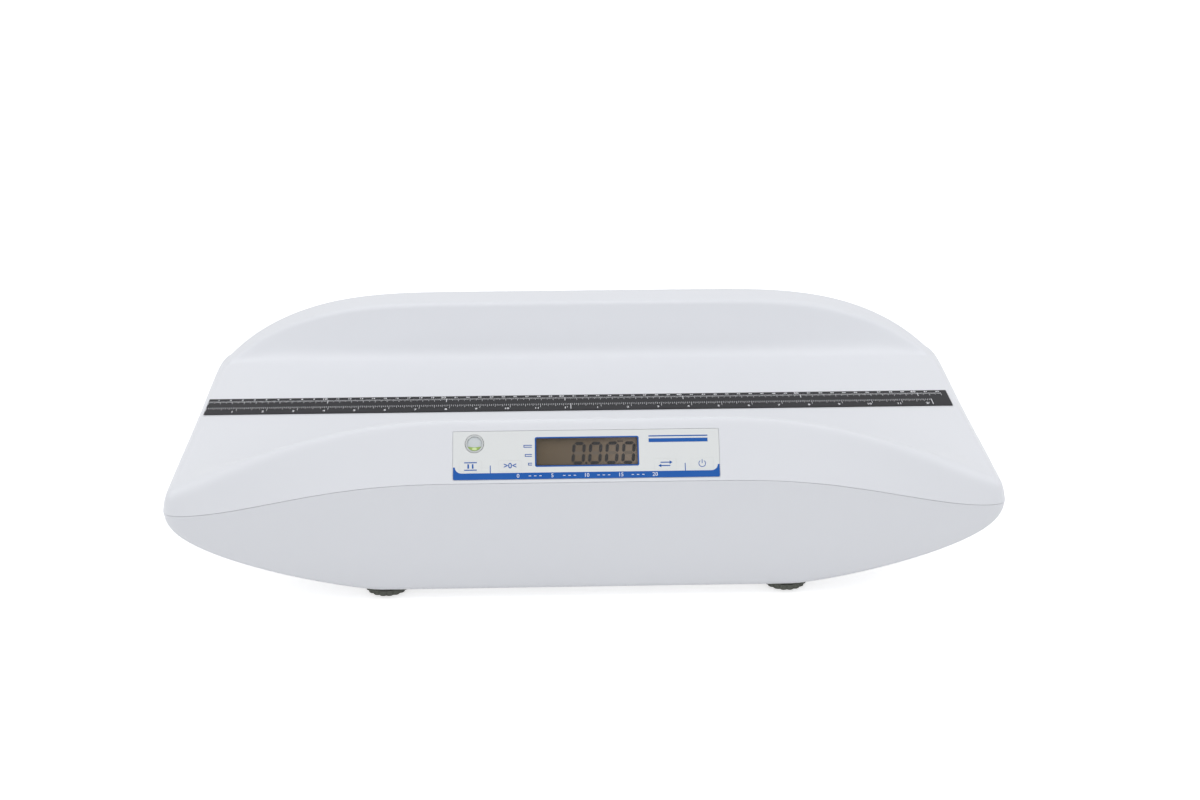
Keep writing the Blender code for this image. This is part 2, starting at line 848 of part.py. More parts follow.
def ruler_tape():
    """The tape follows the cradle floor's slight hollow along its whole length."""
    bm = bmesh.new()
    rear = tape_front_offset + tape_width
    path = tray_section(0)
    strips = []
    for y in (tape_front_offset, tape_front_offset + tape_width / 2, rear):
        z = floor_at(path, y) + touch_gap
        strips.append((y, z))
    half = half_cradle + tape_overhang
    rings = []
    for x in (tape_side_offset - half, tape_side_offset + half):
        low = [bm.verts.new((x, y, z)) for y, z in strips]
        high = [bm.verts.new((x, y, z + tape_thick)) for y, z in reversed(strips)]
        rings.append(low + high)
    count = len(rings[0])
    for i in range(count):
        j = (i + 1) % count
        bm.faces.new((rings[0][i], rings[0][j], rings[1][j], rings[1][i]))
    bm.faces.new(rings[0])
    bm.faces.new(list(reversed(rings[1])))
    node_from(bm, "ruler_tape", (0.08, 0.08, 0.09), 0.45)


def floor_at(path, y):
    """Height of a section's floor at a place across it."""
    for a, b in zip(path, path[1:]):
        if a.x <= y <= b.x and max(a.y, b.y) <= floor_height + tape_floor_slack:
            return a.y + (b.y - a.y) * (y - a.x) / (b.x - a.x)
    return floor_height


lead_floor = base_inside + touch_gap + lead_radius


def smooth_points(points, steps=3):
    """Points along a smooth curve through the given ones."""
    line = [2 * points[0] - points[1], *points, 2 * points[-1] - points[-2]]
    result = []
    for a, b, c, d in zip(line, line[1:], line[2:], line[3:]):
        for k in range(steps):
            t = k / steps
            near = 2 * b + (c - a) * t + (2 * a - 5 * b + 4 * c - d) * t**2
            result.append((near + (3 * b - a - 3 * c + d) * t**3) / 2)
    return result + [points[-1]]


def lead(name, start, end_x, colour):
    """A lead laid on the base floor, up the front wall, to the board's lower edge."""
    rise = -half_depth + lead_wall_setback
    board_low = (end_x, -board_height / 2 - touch_gap, -board_setback - board_thick / 2)
    board_edge = panel_place @ Vector(board_low)
    route = [Vector(point) for point in start]
    route.append(Vector((end_x, rise + lead_bend, lead_floor)))
    route.append(Vector((end_x, rise, lead_rise_low)))
    route.append(Vector((end_x, rise, lead_rise_high)))
    route.append(board_edge - slope * lead_approach)
    route.append(board_edge)
    curve = bpy.data.curves.new(name, "CURVE")
    curve.dimensions = "3D"
    curve.bevel_depth = lead_radius
    curve.bevel_resolution = lead_bevel_resolution
    curve.use_fill_caps = True
    line = curve.splines.new("POLY")
    points = smooth_points(route)
    for point in points:
        point.z = max(point.z, lead_floor)
    line.points.add(len(points) - 1)
    for spot, point in zip(line.points, points):
        spot.co = (*point, 1)
    curve.materials.append(material(name, colour, 0.5))
    item = bpy.data.objects.new(name, curve)
    bpy.context.scene.collection.objects.link(item)


def leads():
    """Leads from the load cells, the battery box and the jack to the board."""
    front_lane = -half_depth + lead_front_setback
    cell_edge = cell_side / 2 + touch_gap
    cell_z = base_inside + cell_rise + cell_thick / 2
    for side, name in ((-1, "left"), (1, "right")):
        x = side * (foot_spacing / 2 - cell_edge)
        y = half_depth - foot_setback
        step = -side * lead_lane_pitch
        front = [
            (x, -y, cell_z), (x + step / 2, -y, cell_z), (x + 2 * step, front_lane, lead_floor),
            (side * 2 * lead_first_end, front_lane, lead_floor),
        ]
        lead("load_cell_lead_front_" + name, front, side * lead_first_end, (0.5, 0.05, 0.04))
        lane = front_lane + lead_lane_pitch
        rear = [
            (x, y, cell_z), (x + step / 2, y, cell_z), (x + 2 * step, y, lead_floor),
            (side * rear_lead_lane, y - lead_front_setback, lead_floor),
            (side * rear_lead_lane, 0, lead_floor),
            (side * rear_lead_lane, lane + lead_front_setback, lead_floor),
            (side * rear_lead_lane + 2 * step, lane, lead_floor),
            (side * (lead_second_end + lead_front_setback), lane, lead_floor),
        ]
        lead("load_cell_lead_rear_" + name, rear, side * lead_second_end, (0.5, 0.05, 0.04))
    bay_front = bay_setback - bay_width / 2 - bay_wall - door_gap - touch_gap
    start = [
        (-lead_lane_pitch, bay_front, bay_low + bay_height / 2),
        (-lead_lane_pitch, bay_front - lead_lane_pitch / 2, bay_low + bay_height / 2),
        (-lead_lane_pitch, bay_front - 2 * lead_lane_pitch, lead_floor),
        (-lead_lane_pitch, -half_depth / 2, lead_floor),
    ]
    lead("battery_lead", start, -lead_lane_pitch, (0.04, 0.04, 0.04))
    jack_front = half_depth - jack_recess - jack_length - 2 * touch_gap
    lane = front_lane + 2 * lead_lane_pitch
    start = [
        (jack_offset, jack_front, jack_lift),
        (jack_offset, jack_front - lead_lane_pitch / 2, jack_lift),
        (jack_offset + lead_lane_pitch, jack_front - 2 * lead_lane_pitch, lead_floor),
        (jack_lead_lane, half_depth / 2, lead_floor),
        (jack_lead_lane, 0, lead_floor),
        (jack_lead_lane, lane + lead_lane_pitch, lead_floor),
        (jack_lead_lane - lead_lane_pitch, lane, lead_floor),
        (lead_front_setback, lane, lead_floor),
    ]
    lead("jack_lead", start, lead_lane_pitch, (0.04, 0.04, 0.04))


def build():
    clear_scene()
    tray_shell()
    base_shell()
    panel_overlay()
    keys()
    display()
    level()
    electronics()
    feet()
    shell_screws()
    battery_bay()
    power_jack()
    ruler_tape()
    leads()


build()
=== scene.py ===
import math
import bpy
import bmesh
from mathutils import Matrix, Vector


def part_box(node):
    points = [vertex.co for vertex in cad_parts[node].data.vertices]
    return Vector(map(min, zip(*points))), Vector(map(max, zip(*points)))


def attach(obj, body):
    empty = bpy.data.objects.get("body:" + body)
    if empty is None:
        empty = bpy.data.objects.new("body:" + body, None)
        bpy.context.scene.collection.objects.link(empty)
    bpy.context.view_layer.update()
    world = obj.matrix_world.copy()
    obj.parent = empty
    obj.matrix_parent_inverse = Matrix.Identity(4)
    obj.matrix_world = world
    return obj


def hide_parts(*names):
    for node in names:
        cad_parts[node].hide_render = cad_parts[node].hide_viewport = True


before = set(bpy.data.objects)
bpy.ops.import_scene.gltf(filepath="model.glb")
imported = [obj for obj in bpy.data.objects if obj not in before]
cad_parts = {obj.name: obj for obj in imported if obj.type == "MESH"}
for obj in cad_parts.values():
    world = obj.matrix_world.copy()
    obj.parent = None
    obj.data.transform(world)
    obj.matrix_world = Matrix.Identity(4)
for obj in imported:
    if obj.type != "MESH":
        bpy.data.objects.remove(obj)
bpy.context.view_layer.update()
mm = 0.001
inch = 25.4 * mm
print("scale: frame loaded")


# shader maths on sockets

class Wire:
    def __init__(self, paint, socket):
        self.paint = paint
        self.socket = socket

    def maths(self, operation, *others):
        return self.paint.node("ShaderNodeMath", {"operation": operation}, [self, *others])

    def __add__(self, other):
        return self.maths("ADD", other)

    def __sub__(self, other):
        return self.maths("SUBTRACT", other)

    def __mul__(self, other):
        return self.maths("MULTIPLY", other)

    def above(self, other):
        return self.maths("GREATER_THAN", other)

    def absolute(self):
        return self.maths("ABSOLUTE")


class Paint:
    def __init__(self, name):
        self.material = bpy.data.materials.new(name)
        self.material.use_nodes = True
        self.tree = self.material.node_tree
        self.shader = self.tree.nodes["Principled BSDF"]

    def feed(self, socket, value):
        if isinstance(value, (Wire, bpy.types.NodeSocket)):
            self.tree.links.new(getattr(value, "socket", value), socket)
        else:
            socket.default_value = value

    def node(self, kind, settings=None, sockets=(), output=0):
        made = self.tree.nodes.new(kind)
        for name, value in (settings or {}).items():
            if name == "stops":
                ramp = made.color_ramp
                for stop in value[2:]:
                    ramp.elements.new(stop[0])
                for element, stop in zip(ramp.elements, sorted(value)):
                    element.position = stop[0]
                    element.color = (*stop[1], 1)
            else:
                setattr(made, name, value)
        pairs = sockets.items() if isinstance(sockets, dict) else enumerate(sockets)
        for key, value in pairs:
            self.feed(made.inputs[key], value)
        return Wire(self, made.outputs[output])

    def set(self, **values):
        for name, value in values.items():
            self.feed(self.shader.inputs[name.replace("_", " ")], value)
        return self

    def coords(self, output=3):
        return self.node("ShaderNodeTexCoord", output=output)

    def noise(self, scale, detail=3, rough=0.55, coords=None):
        where = coords or self.coords()
        sockets = {"Vector": where, "Scale": scale, "Detail": detail, "Roughness": rough}
        return self.node("ShaderNodeTexNoise", sockets=sockets)

    def ramp(self, factor, stops):
        return self.node("ShaderNodeValToRGB", {"stops": stops}, {"Fac": factor})

    def mix(self, factor, first, second):
        made = self.tree.nodes.new("ShaderNodeMix")
        made.data_type = "RGBA"
        self.feed(made.inputs[0], factor)
        for socket, colour in ((made.inputs[6], first), (made.inputs[7], second)):
            self.feed(socket, colour if isinstance(colour, Wire) else (*colour, 1))
        return Wire(self, made.outputs[2])

    def bump(self, height, strength, distance=0.0005):
        sockets = {"Strength": strength, "Distance": distance, "Height": height}
        self.set(Normal=self.node("ShaderNodeBump", sockets=sockets))
        return self


def shade(low, high, factor):
    return tuple(a + (b - a) * factor for a, b in zip(low, high))


def mouldedPlastic(name, colour, roughness, grain=900, depth=0.06, spread=0.03, gloss=0.5):
    paint = Paint(name).set(Specular_IOR_Level=gloss)
    cloud = paint.noise(9, 4)
    fine = paint.noise(grain, 2)
    dark = shade(colour, (0, 0, 0), spread)
    light = shade(colour, (1, 1, 1), spread)
    paint.set(Base_Color=paint.mix(cloud, dark, light))
    paint.set(Roughness=cloud * 0.08 + (roughness - 0.04) + fine * 0.03)
    paint.bump(fine, depth, 0.0002)
    return paint.material


def brushedMetal(name, colour, roughness):
    paint = Paint(name)
    stretch = paint.node("ShaderNodeMapping", {}, {"Vector": paint.coords(), "Scale": (40, 900, 900)})
    lines = paint.noise(1.0, 4, coords=stretch)
    paint.set(Base_Color=paint.mix(lines, shade(colour, (0, 0, 0), 0.15), colour), Metallic=1.0)
    paint.set(Roughness=lines * 0.2 + (roughness - 0.1))
    paint.bump(lines, 0.05, 0.0001)
    return paint.material


def grained(name, scale, detail, colours, rough, bump=None, **values):
    paint = Paint(name)
    grain = paint.noise(scale, detail)
    paint.set(Base_Color=paint.mix(grain, *colours), Roughness=grain * rough[0] + rough[1], **values)
    if bump:
        paint.bump(grain, *bump)
    return paint.material


# tools for modelling

def deselectAll():
    if bpy.context.object and bpy.context.object.mode != "OBJECT":
        bpy.ops.object.mode_set(mode="OBJECT")
    bpy.ops.object.select_all(action="DESELECT")


def pickOnly(piece):
    deselectAll()
    piece.select_set(True)
    bpy.context.view_layer.objects.active = piece


def addObject(name, data):
    piece = bpy.data.objects.new(name, data)
    bpy.context.scene.collection.objects.link(piece)
    return piece


def takeOver(piece, name, material, body, replaces=()):
    piece.name = name
    piece.data.name = name
    piece.data.materials.clear()
    piece.data.materials.append(material)
    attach(piece, body)
    if replaces:
        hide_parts(*replaces)
    return piece


def freezePlace(piece):
    pickOnly(piece)
    bpy.ops.object.transform_apply(location=True, rotation=True, scale=True)
    return piece


def smoothen(piece, degrees=30):
    pickOnly(piece)
    bpy.ops.object.shade_smooth_by_angle(angle=math.radians(degrees))
    return piece


def joinPieces(pieces):
    pickOnly(pieces[0])
    if len(pieces) > 1:
        for piece in pieces:
            piece.select_set(True)
        bpy.ops.object.join()
    return pieces[0]


def addBox(size, place=Matrix(), bevel=0.0):
    deselectAll()
    bpy.ops.mesh.primitive_cube_add(size=1)
    piece = bpy.context.object
    piece.scale = size
    freezePlace(piece)
    if bevel:
        bpy.ops.object.mode_set(mode="EDIT")
        bpy.ops.mesh.select_all(action="SELECT")
        bpy.ops.mesh.bevel(offset=bevel, segments=2)
        bpy.ops.object.mode_set(mode="OBJECT")
    piece.data.transform(place)
    return piece


def pickFaces(piece, test):  # goes to edit mode with the faces whose normal's Z passes
    bpy.ops.object.mode_set(mode="EDIT")
    bpy.ops.mesh.select_mode(type="FACE")
    bpy.ops.mesh.select_all(action="DESELECT")
    bpy.ops.object.mode_set(mode="OBJECT")
    for face in piece.data.polygons:
        face.select = test(face.normal.z)
    bpy.ops.object.mode_set(mode="EDIT")


def addRod(radius, low, high, place=Matrix(), sides=48, bevel=0.0):
    deselectAll()
    bpy.ops.mesh.primitive_cylinder_add(
        vertices=sides, radius=radius, depth=high - low, location=(0, 0, (low + high) / 2)
    )
    piece = freezePlace(bpy.context.object)
    if bevel:
        pickFaces(piece, lambda z: abs(z) > 0.9)
        bpy.ops.mesh.bevel(offset=bevel, segments=3)
        bpy.ops.object.mode_set(mode="OBJECT")
    piece.data.transform(place)
    return piece


def cutOut(piece, cutters):
    tool = joinPieces(cutters)
    change = piece.modifiers.new("cut", "BOOLEAN")
    change.operation = "DIFFERENCE"
    change.solver = "EXACT"
    change.use_self = True
    change.object = tool
    pickOnly(piece)
    bpy.ops.object.modifier_apply(modifier=change.name)
    bpy.data.objects.remove(tool, do_unlink=True)
    return piece


def turnOutward():  # all faces look out, then back to object mode
    bpy.ops.mesh.select_all(action="SELECT")
    bpy.ops.mesh.normals_make_consistent(inside=False)
    bpy.ops.object.mode_set(mode="OBJECT")


def outlineSlab(points, low, high, place=Matrix()):  # a circle set on the outline, then extruded
    deselectAll()
    bpy.ops.mesh.primitive_circle_add(vertices=len(points), radius=1, fill_type="NGON")
    piece = bpy.context.object
    for vertex, (x, y) in zip(piece.data.vertices, points):
        vertex.co = (x, y, low)
    bpy.ops.object.mode_set(mode="EDIT")
    bpy.ops.mesh.select_all(action="SELECT")
    bpy.ops.mesh.extrude_region_move(TRANSFORM_OT_translate={"value": (0, 0, high - low)})
    turnOutward()
    piece.data.transform(place)
    return piece


def fromAxes(x, y, z, place):
    return Matrix((*zip(x, y, z, place), (0, 0, 0, 1)))


def arc(x, y, radius, start, sweep, steps):  # points of a turn in degrees about x, y
    turns = [math.radians(start + sweep * i / steps) for i in range(steps + 1)]
    return [(x + radius * math.cos(turn), y + radius * math.sin(turn)) for turn in turns]


def roundedRectangle(width, height, radius, steps=6):
    points = []
    for quarter, (sx, sy) in enumerate(((1, 1), (-1, 1), (-1, -1), (1, -1))):
        x, y = sx * (width / 2 - radius), sy * (height / 2 - radius)
        points += arc(x, y, radius, 90 * quarter, 90, steps)
    return points


# the body's lines, the same as the solids follow

body = {
    "length": 648 * mm, "depth": 322 * mm, "floor": 95 * mm, "wall": 2.6 * mm, "gap": 0.3 * mm,
    "cradle": 625 * mm, "flatCentre": 210 * mm, "crestRise": 49 * mm, "rearRise": 44.3 * mm,
    "sag": 2.4 * mm, "crestSetback": 36.5 * mm, "crestEndSetback": 8 * mm, "frontFoot": 60 * mm,
    "rearRun": 17 * mm, "rearEndRun": 7 * mm, "rim": 37 * mm, "lean": 1.5 * mm,
    "crestRound": 12 * mm, "footRound": 12 * mm, "rimInner": 5 * mm, "rimOuter": 8 * mm,
    "seam": 102 * mm, "seamEnd": 77.4 * mm, "clearance": 6.9 * mm, "baseFlat": 322 * mm,
    "baseCorner": 6 * mm, "baseLean": 4 * mm, "endWeb": 3.4 * mm,
    "traySteps": 40, "baseSteps": 46, "endSteps": 12, "flatSteps": 5, "stepPower": 1.5,
    "crestPower": 2.0, "rearPower": 3.2, "seamPower": 1.4, "seamStart": 0.9, "frontCorner": 40,
    "rearCorner": 6.5, "longest": 0.9995, "climbStart": 1.25, "climbEnd": 0.54,
}
halfLength = body["length"] / 2
halfDepth = body["depth"] / 2
halfCradle = body["cradle"] / 2
halfFlat = body["flatCentre"] / 2


def centreFall(x, power):
    run = max(0.0, abs(x) - halfFlat) / (halfCradle - halfFlat)
    return min(1.0, run) ** power


def crestHeight(x):
    return body["crestRise"] * (1 - centreFall(x, body["crestPower"]))


def rearHeight(x):
    return body["rearRise"] * (1 - centreFall(x, body["rearPower"]))


def seamZ(x):
    start = halfFlat * body["seamStart"]
    run = min(1.0, max(0.0, abs(x) - start) / (halfCradle - start))
    late = run ** body["seamPower"]
    return body["seam"] - (body["seam"] - body["seamEnd"]) * late * late * (3 - 2 * late)


def planShare(x, y):  # squarer corners in front than behind
    power = body["frontCorner"] if y < 0 else body["rearCorner"]
    run = min(abs(x) / halfLength, body["longest"])
    return (1 - run**power) ** (1 / power)


def baseZ(x):
    half = body["baseFlat"] / 2
    run = min(1.0, max(0.0, abs(x) - half) / (halfLength - half))
    climb = 1 - (1 - run ** body["climbStart"]) ** body["climbEnd"]
    return body["clearance"] + (body["seamEnd"] - body["endWeb"] - body["clearance"]) * climb


def roundedPath(corners, steps, straight):
    points = [Vector(corners[0][:2])]
    for i in range(1, len(corners) - 1):
        here = Vector(corners[i][:2])
        before = Vector(corners[i - 1][:2]) - here
        after = Vector(corners[i + 1][:2]) - here
        back = min(corners[i][2], 0.45 * before.length, 0.45 * after.length)
        start = here + before.normalized() * back
        end = here + after.normalized() * back
        last = points[-1]
        for k in range(1, straight):  # even points along the straight run before the turn
            points.append(last + (start - last) * k / straight)
        for k in range(steps + 1):
            t = k / steps
            points.append(start * (1 - t) ** 2 + here * 2 * t * (1 - t) + end * t**2)
    last = points[-1]
    end = Vector(corners[-1][:2])
    return points + [last + (end - last) * k / straight for k in range(1, straight + 1)]


def insetCorners(corners, distance):
    points = [Vector(corner[:2]) for corner in corners]
    ways = [(b - a).normalized() for a, b in zip(points, points[1:])]
    sides = [Vector((way.y, -way.x)) for way in ways]
    moved = []
    for i, point in enumerate(points):
        if i in (0, len(points) - 1):
            way, side = (ways[0], sides[0]) if i == 0 else (ways[-1], sides[-1])
            reach = point + side * distance
            reach = reach + way * (point.y - reach.y) / way.y
            moved.append((reach.x, reach.y, 0))
            continue
        mean = (sides[i - 1] + sides[i]).normalized()
        reach = point + mean * distance / mean.dot(sides[i])
        bend = math.tan(ways[i - 1].angle_signed(ways[i]) / 2)
        moved.append((reach.x, reach.y, max(corners[i][2] - bend * distance, corners[i][2] * 0.15)))
    return moved


def traySection(x, inset, steps=8, straight=3):
    fall = 1 - crestHeight(x) / body["crestRise"]
    crestBack = body["crestSetback"] + (body["crestEndSetback"] - body["crestSetback"]) * fall
    rearShare = rearHeight(x) / body["rearRise"]
    rearRun = body["rearEndRun"] + (body["rearRun"] - body["rearEndRun"]) * rearShare
    foot = halfDepth - body["rim"] - rearRun
    top = body["floor"]
    corners = [
        (-halfDepth, seamZ(x), 0),
        (-halfDepth + crestBack, top + crestHeight(x), body["crestRound"]),
        (-halfDepth + body["frontFoot"], top, body["footRound"]),
        (0, top - body["sag"], foot),
        (foot, top, body["footRound"]),
        (halfDepth - body["rim"], top + rearHeight(x), body["rimInner"]),
        (halfDepth - body["lean"], top + rearHeight(x), body["rimOuter"]),
        (halfDepth, seamZ(x), 0),
    ]
    corners = [(y * planShare(x, y), z, back) for y, z, back in corners]
    return roundedPath(insetCorners(corners, inset) if inset else corners, steps, straight)


def baseSection(x, inset, steps=8, straight=3):
    top = seamZ(x) - body["gap"]
    low = min(baseZ(x) + inset, top - body["gap"])
    side = halfDepth - inset
    corners = (
        (-side, top, 0), (-side + body["baseLean"], low, body["baseCorner"]),
        (side - body["baseLean"], low, body["baseCorner"]), (side, top, 0),
    )
    corners = [(y * planShare(x, y), z, back) for y, z, back in corners]
    return roundedPath(corners, steps, straight)


def alongLength(half, count):
    power, few = body["stepPower"], body["flatSteps"]
    side = [halfFlat + (half - halfFlat) * (1 - (1 - i / count) ** power) for i in range(count + 1)]
    centre = [halfFlat * i / few for i in range(few)]
    right = centre[1:] + side
    return [-x for x in reversed(right)] + [0.0] + right


def trayRows(inset):
    rows = []
    for x in alongLength(halfCradle, body["traySteps"]):
        rows.append([(x, point.x, point.y) for point in traySection(x, inset)])
    run = halfLength - halfCradle
    low = seamZ(halfCradle)
    for side, end in ((-1, 0), (1, -1)):
        edge = list(rows[end])
        for k in range(1, body["endSteps"] + 1):
            turn = math.pi / 2 * k / body["endSteps"]
            x = halfCradle + (run - inset) * math.sin(turn)
            full = halfCradle + run * math.sin(turn)
            row = [(side * x, y * planShare(full, y) / planShare(halfCradle, y),
                    low + (z - low) * math.cos(turn)) for _, y, z in edge]
            rows = [row] + rows if side < 0 else rows + [row]
    return rows


def baseRows(inset):
    squeeze = (halfLength - inset) / halfLength
    rows = []
    for x in alongLength(halfLength, body["baseSteps"]):
        rows.append([(x * squeeze, point.x, point.y) for point in baseSection(x, inset)])
    for end in (0, -1):
        rows[end] = [(x, y, rows[end][0][2]) for x, y, _ in rows[end]]
    return rows


def gridSheet(rows):  # a grid whose points are set on the rows
    deselectAll()
    across = len(rows[0]) - 1
    along = len(rows) - 1
    bpy.ops.mesh.primitive_grid_add(x_subdivisions=across, y_subdivisions=along, size=1)
    sheet = bpy.context.object
    flat = [point for row in rows for point in row]
    for vertex, point in zip(sheet.data.vertices, flat):
        vertex.co = point
    return sheet


def closedShell(outerRows, innerRows):  # two grids bridged round their open edge
    shell = joinPieces([gridSheet(outerRows), gridSheet(innerRows)])
    bpy.ops.object.mode_set(mode="EDIT")
    bpy.ops.mesh.select_mode(type="EDGE")
    bpy.ops.mesh.select_all(action="DESELECT")
    bpy.ops.mesh.select_non_manifold()
    bpy.ops.mesh.bridge_edge_loops()
    turnOutward()
    mesh = bmesh.new()
    mesh.from_mesh(shell.data)
    if mesh.calc_volume(signed=True) < 0:
        bmesh.ops.reverse_faces(mesh, faces=mesh.faces)
        mesh.to_mesh(shell.data)
    mesh.free()
    return shell


# the sloping panel's own frame: X along it, Y up the slope, Z out of it

panel = {
    "width": 202.6 * mm, "height": 38.2 * mm, "margin": 2.8 * mm, "film": 0.5 * mm,
    "windowWidth": 77.6 * mm, "windowHeight": 21.9 * mm, "windowX": 0.5 * mm, "windowY": 2.3 * mm,
    "vialX": -85 * mm, "vialY": 9.4 * mm, "vialRadius": 7 * mm, "corner": 1 * mm,
    "keyWidth": 17 * mm, "keyHeight": 8.5 * mm, "keyY": -8.4 * mm,
}
keyPlaces = {"hold": -88 * mm, "zero": -58 * mm, "unit": 60 * mm, "power": 88 * mm}
crestTop = body["floor"] + body["crestRise"]
slope = Vector((0, body["crestSetback"], crestTop - body["seam"])).normalized()
outward = Vector((1, 0, 0)).cross(slope)
panelUp = panel["margin"] + panel["height"] / 2
panelMiddle = Vector((0, -halfDepth, body["seam"])) + slope * panelUp
panelPlace = fromAxes((1, 0, 0), slope, outward, panelMiddle)


def onPanel(x, y, z=0.0):
    return panelPlace @ Matrix.Translation((x, y, z))


tray = {
    "cut": 3 * mm, "windowRoom": 3.6 * mm, "deep": 8 * mm,
    "keyDeep": 1.1 * mm, "keyMiddle": -0.85 * mm,
}


def makeTray(material):
    shell = closedShell(trayRows(0), trayRows(body["wall"]))
    gap, room, deep = body["gap"], tray["windowRoom"], tray["deep"]
    outline = roundedRectangle(panel["width"] + 2 * gap, panel["height"] + 2 * gap, panel["corner"])
    recess = outlineSlab(outline, -(panel["film"] + gap), tray["cut"], panelPlace)
    window = (panel["windowWidth"] + room, panel["windowHeight"] + room, deep)
    holes = [addBox(window, onPanel(panel["windowX"], panel["windowY"], -deep / 2 - gap))]
    vial = onPanel(panel["vialX"], panel["vialY"])
    holes.append(addRod(panel["vialRadius"] + gap, -deep, -gap, vial))
    key = (panel["keyWidth"] + 2 * gap, panel["keyHeight"] + 2 * gap, tray["keyDeep"])
    for x in keyPlaces.values():
        holes.append(addBox(key, onPanel(x, panel["keyY"], tray["keyMiddle"])))
    cutOut(shell, [recess])
    cutOut(shell, holes)
    smoothen(shell, 35)
    print("scale: tray", len(shell.data.polygons))
    return takeOver(shell, "trayShell", material, "housing", ["tray_shell"])


base = {
    "bay": (109 * mm, 50 * mm, 8 * mm), "bayY": 14 * mm, "footX": 156.8 * mm, "footSetback": 23 * mm,
    "footHole": 4.6 * mm, "postX": 118 * mm, "postY": 92 * mm, "postHole": 2.1 * mm,
    "low": -4 * mm, "high": 6 * mm, "jack": (9.6 * mm, 12 * mm, 11.6 * mm),
    "jackX": 60 * mm, "jackIn": 4 * mm, "jackZ": 48 * mm,
}


def makeBase(material):
    shell = closedShell(baseRows(0), baseRows(body["wall"]))
    floor = body["clearance"]
    holes = [addBox(base["bay"], Matrix.Translation((0, base["bayY"], floor)))]
    footY = halfDepth - base["footSetback"]
    for sx in (-1, 1):
        for sy in (-1, 1):
            stud = Matrix.Translation((sx * base["footX"], sy * footY, floor))
            post = Matrix.Translation((sx * base["postX"], sy * base["postY"], floor))
            holes.append(addRod(base["footHole"], base["low"], base["high"], stud))
            holes.append(addRod(base["postHole"], base["low"], base["high"], post))
    socket = Matrix.Translation((base["jackX"], halfDepth - base["jackIn"], base["jackZ"]))
    holes.append(addBox(base["jack"], socket))
    cutOut(shell, holes)
    smoothen(shell, 35)
    print("scale: base", len(shell.data.polygons))
    return takeOver(shell, "baseShell", material, "housing", ["base_shell"])


# finishes for the solids that show as they are

plastics = (  # key, name, colour, roughness and what differs from the usual
    ("white", "shellPlastic", (0.80, 0.81, 0.835), 0.40, {"grain": 1400, "depth": 0.05, "spread": 0.012}),
    ("film", "printedFilm", (0.80, 0.815, 0.80), 0.32, {"grain": 2200, "depth": 0.04, "spread": 0.012}),
    ("black", "blackPlastic", (0.03, 0.03, 0.033), 0.5, {"grain": 900, "depth": 0.15}),
    ("wheel", "wheelPlastic", (0.10, 0.105, 0.088), 0.6, {"grain": 800, "depth": 0.3, "gloss": 0.2}),
    ("lead", "leadJacket", (0.35, 0.02, 0.015), 0.4, {}),
    ("leadBlack", "leadJacketBlack", (0.02, 0.02, 0.02), 0.4, {}),
    ("lcd", "lcdGlass", (0.17, 0.145, 0.115), 0.3, {"grain": 1600, "depth": 0.03, "spread": 0.04}),
    ("tape", "tapeFilm", (0.026, 0.026, 0.029), 0.6, {"grain": 1500, "depth": 0.1, "gloss": 0.1}),
    ("ring", "levelRing", (0.62, 0.64, 0.63), 0.3, {"grain": 1500}),
    ("dome", "levelDome", (0.64, 0.68, 0.69), 0.08, {"grain": 300, "depth": 0.01}),
    ("pool", "levelPool", (0.33, 0.50, 0.10), 0.12, {"grain": 300, "depth": 0.02}),
    ("bubble", "levelBubble", (0.68, 0.83, 0.38), 0.08, {"grain": 300, "depth": 0.01}),
)
inks = {
    "rulerInk": (0.88, 0.88, 0.9), "blue": (0.002, 0.1, 0.42), "whiteInk": (0.85, 0.87, 0.9),
    "lcdInk": (0.014, 0.012, 0.012), "lcdGhost": (0.15, 0.118, 0.085),
}
inkLook = {"roughness": 0.45, "grain": 1800, "depth": 0.03, "gloss": 0.2}
pads = {"dark": (0.0245, 0.0245, 0.0224), "light": (0.08325, 0.08325, 0.0804)}


def circuitBoard(name):
    paint = Paint(name)
    cells = paint.node("ShaderNodeTexBrick", {}, {"Vector": paint.coords(), "Scale": 60.0,
                       "Color1": (0.02, 0.16, 0.07, 1), "Color2": (0.03, 0.2, 0.09, 1),
                       "Mortar": (0.06, 0.3, 0.14, 1), "Mortar Size": 0.02})
    paint.set(Base_Color=cells, Roughness=0.35)
    return paint.bump(paint.noise(300, 2), 0.1, 0.0002).material


def cellSleeve(name):  # a dark sleeve with a metal-coloured band towards one end
    paint = Paint(name)
    parts = paint.node("ShaderNodeSeparateXYZ", {}, [paint.coords()])
    band = parts.absolute().above(0.034)
    wear = paint.noise(200, 3)
    paint.set(Base_Color=paint.mix(band, (0.03, 0.03, 0.035), (0.45, 0.24, 0.08)))
    paint.set(Roughness=wear * 0.15 + 0.25, Metallic=0.4)
    return paint.material


# the dark colour here is painted shadow along the display's lower and right edges
glass = {
    "left": -39 * mm, "wide": 79 * mm, "foot": -10.1 * mm, "tall": 22.6 * mm,
    "leftTone": (0.150, 0.112, 0.068), "middleTone": (0.195, 0.148, 0.102),
    "rightTone": (0.30, 0.235, 0.178), "streak": (0.07, 0.055, 0.038), "dark": (0.052, 0.036, 0.017),
}


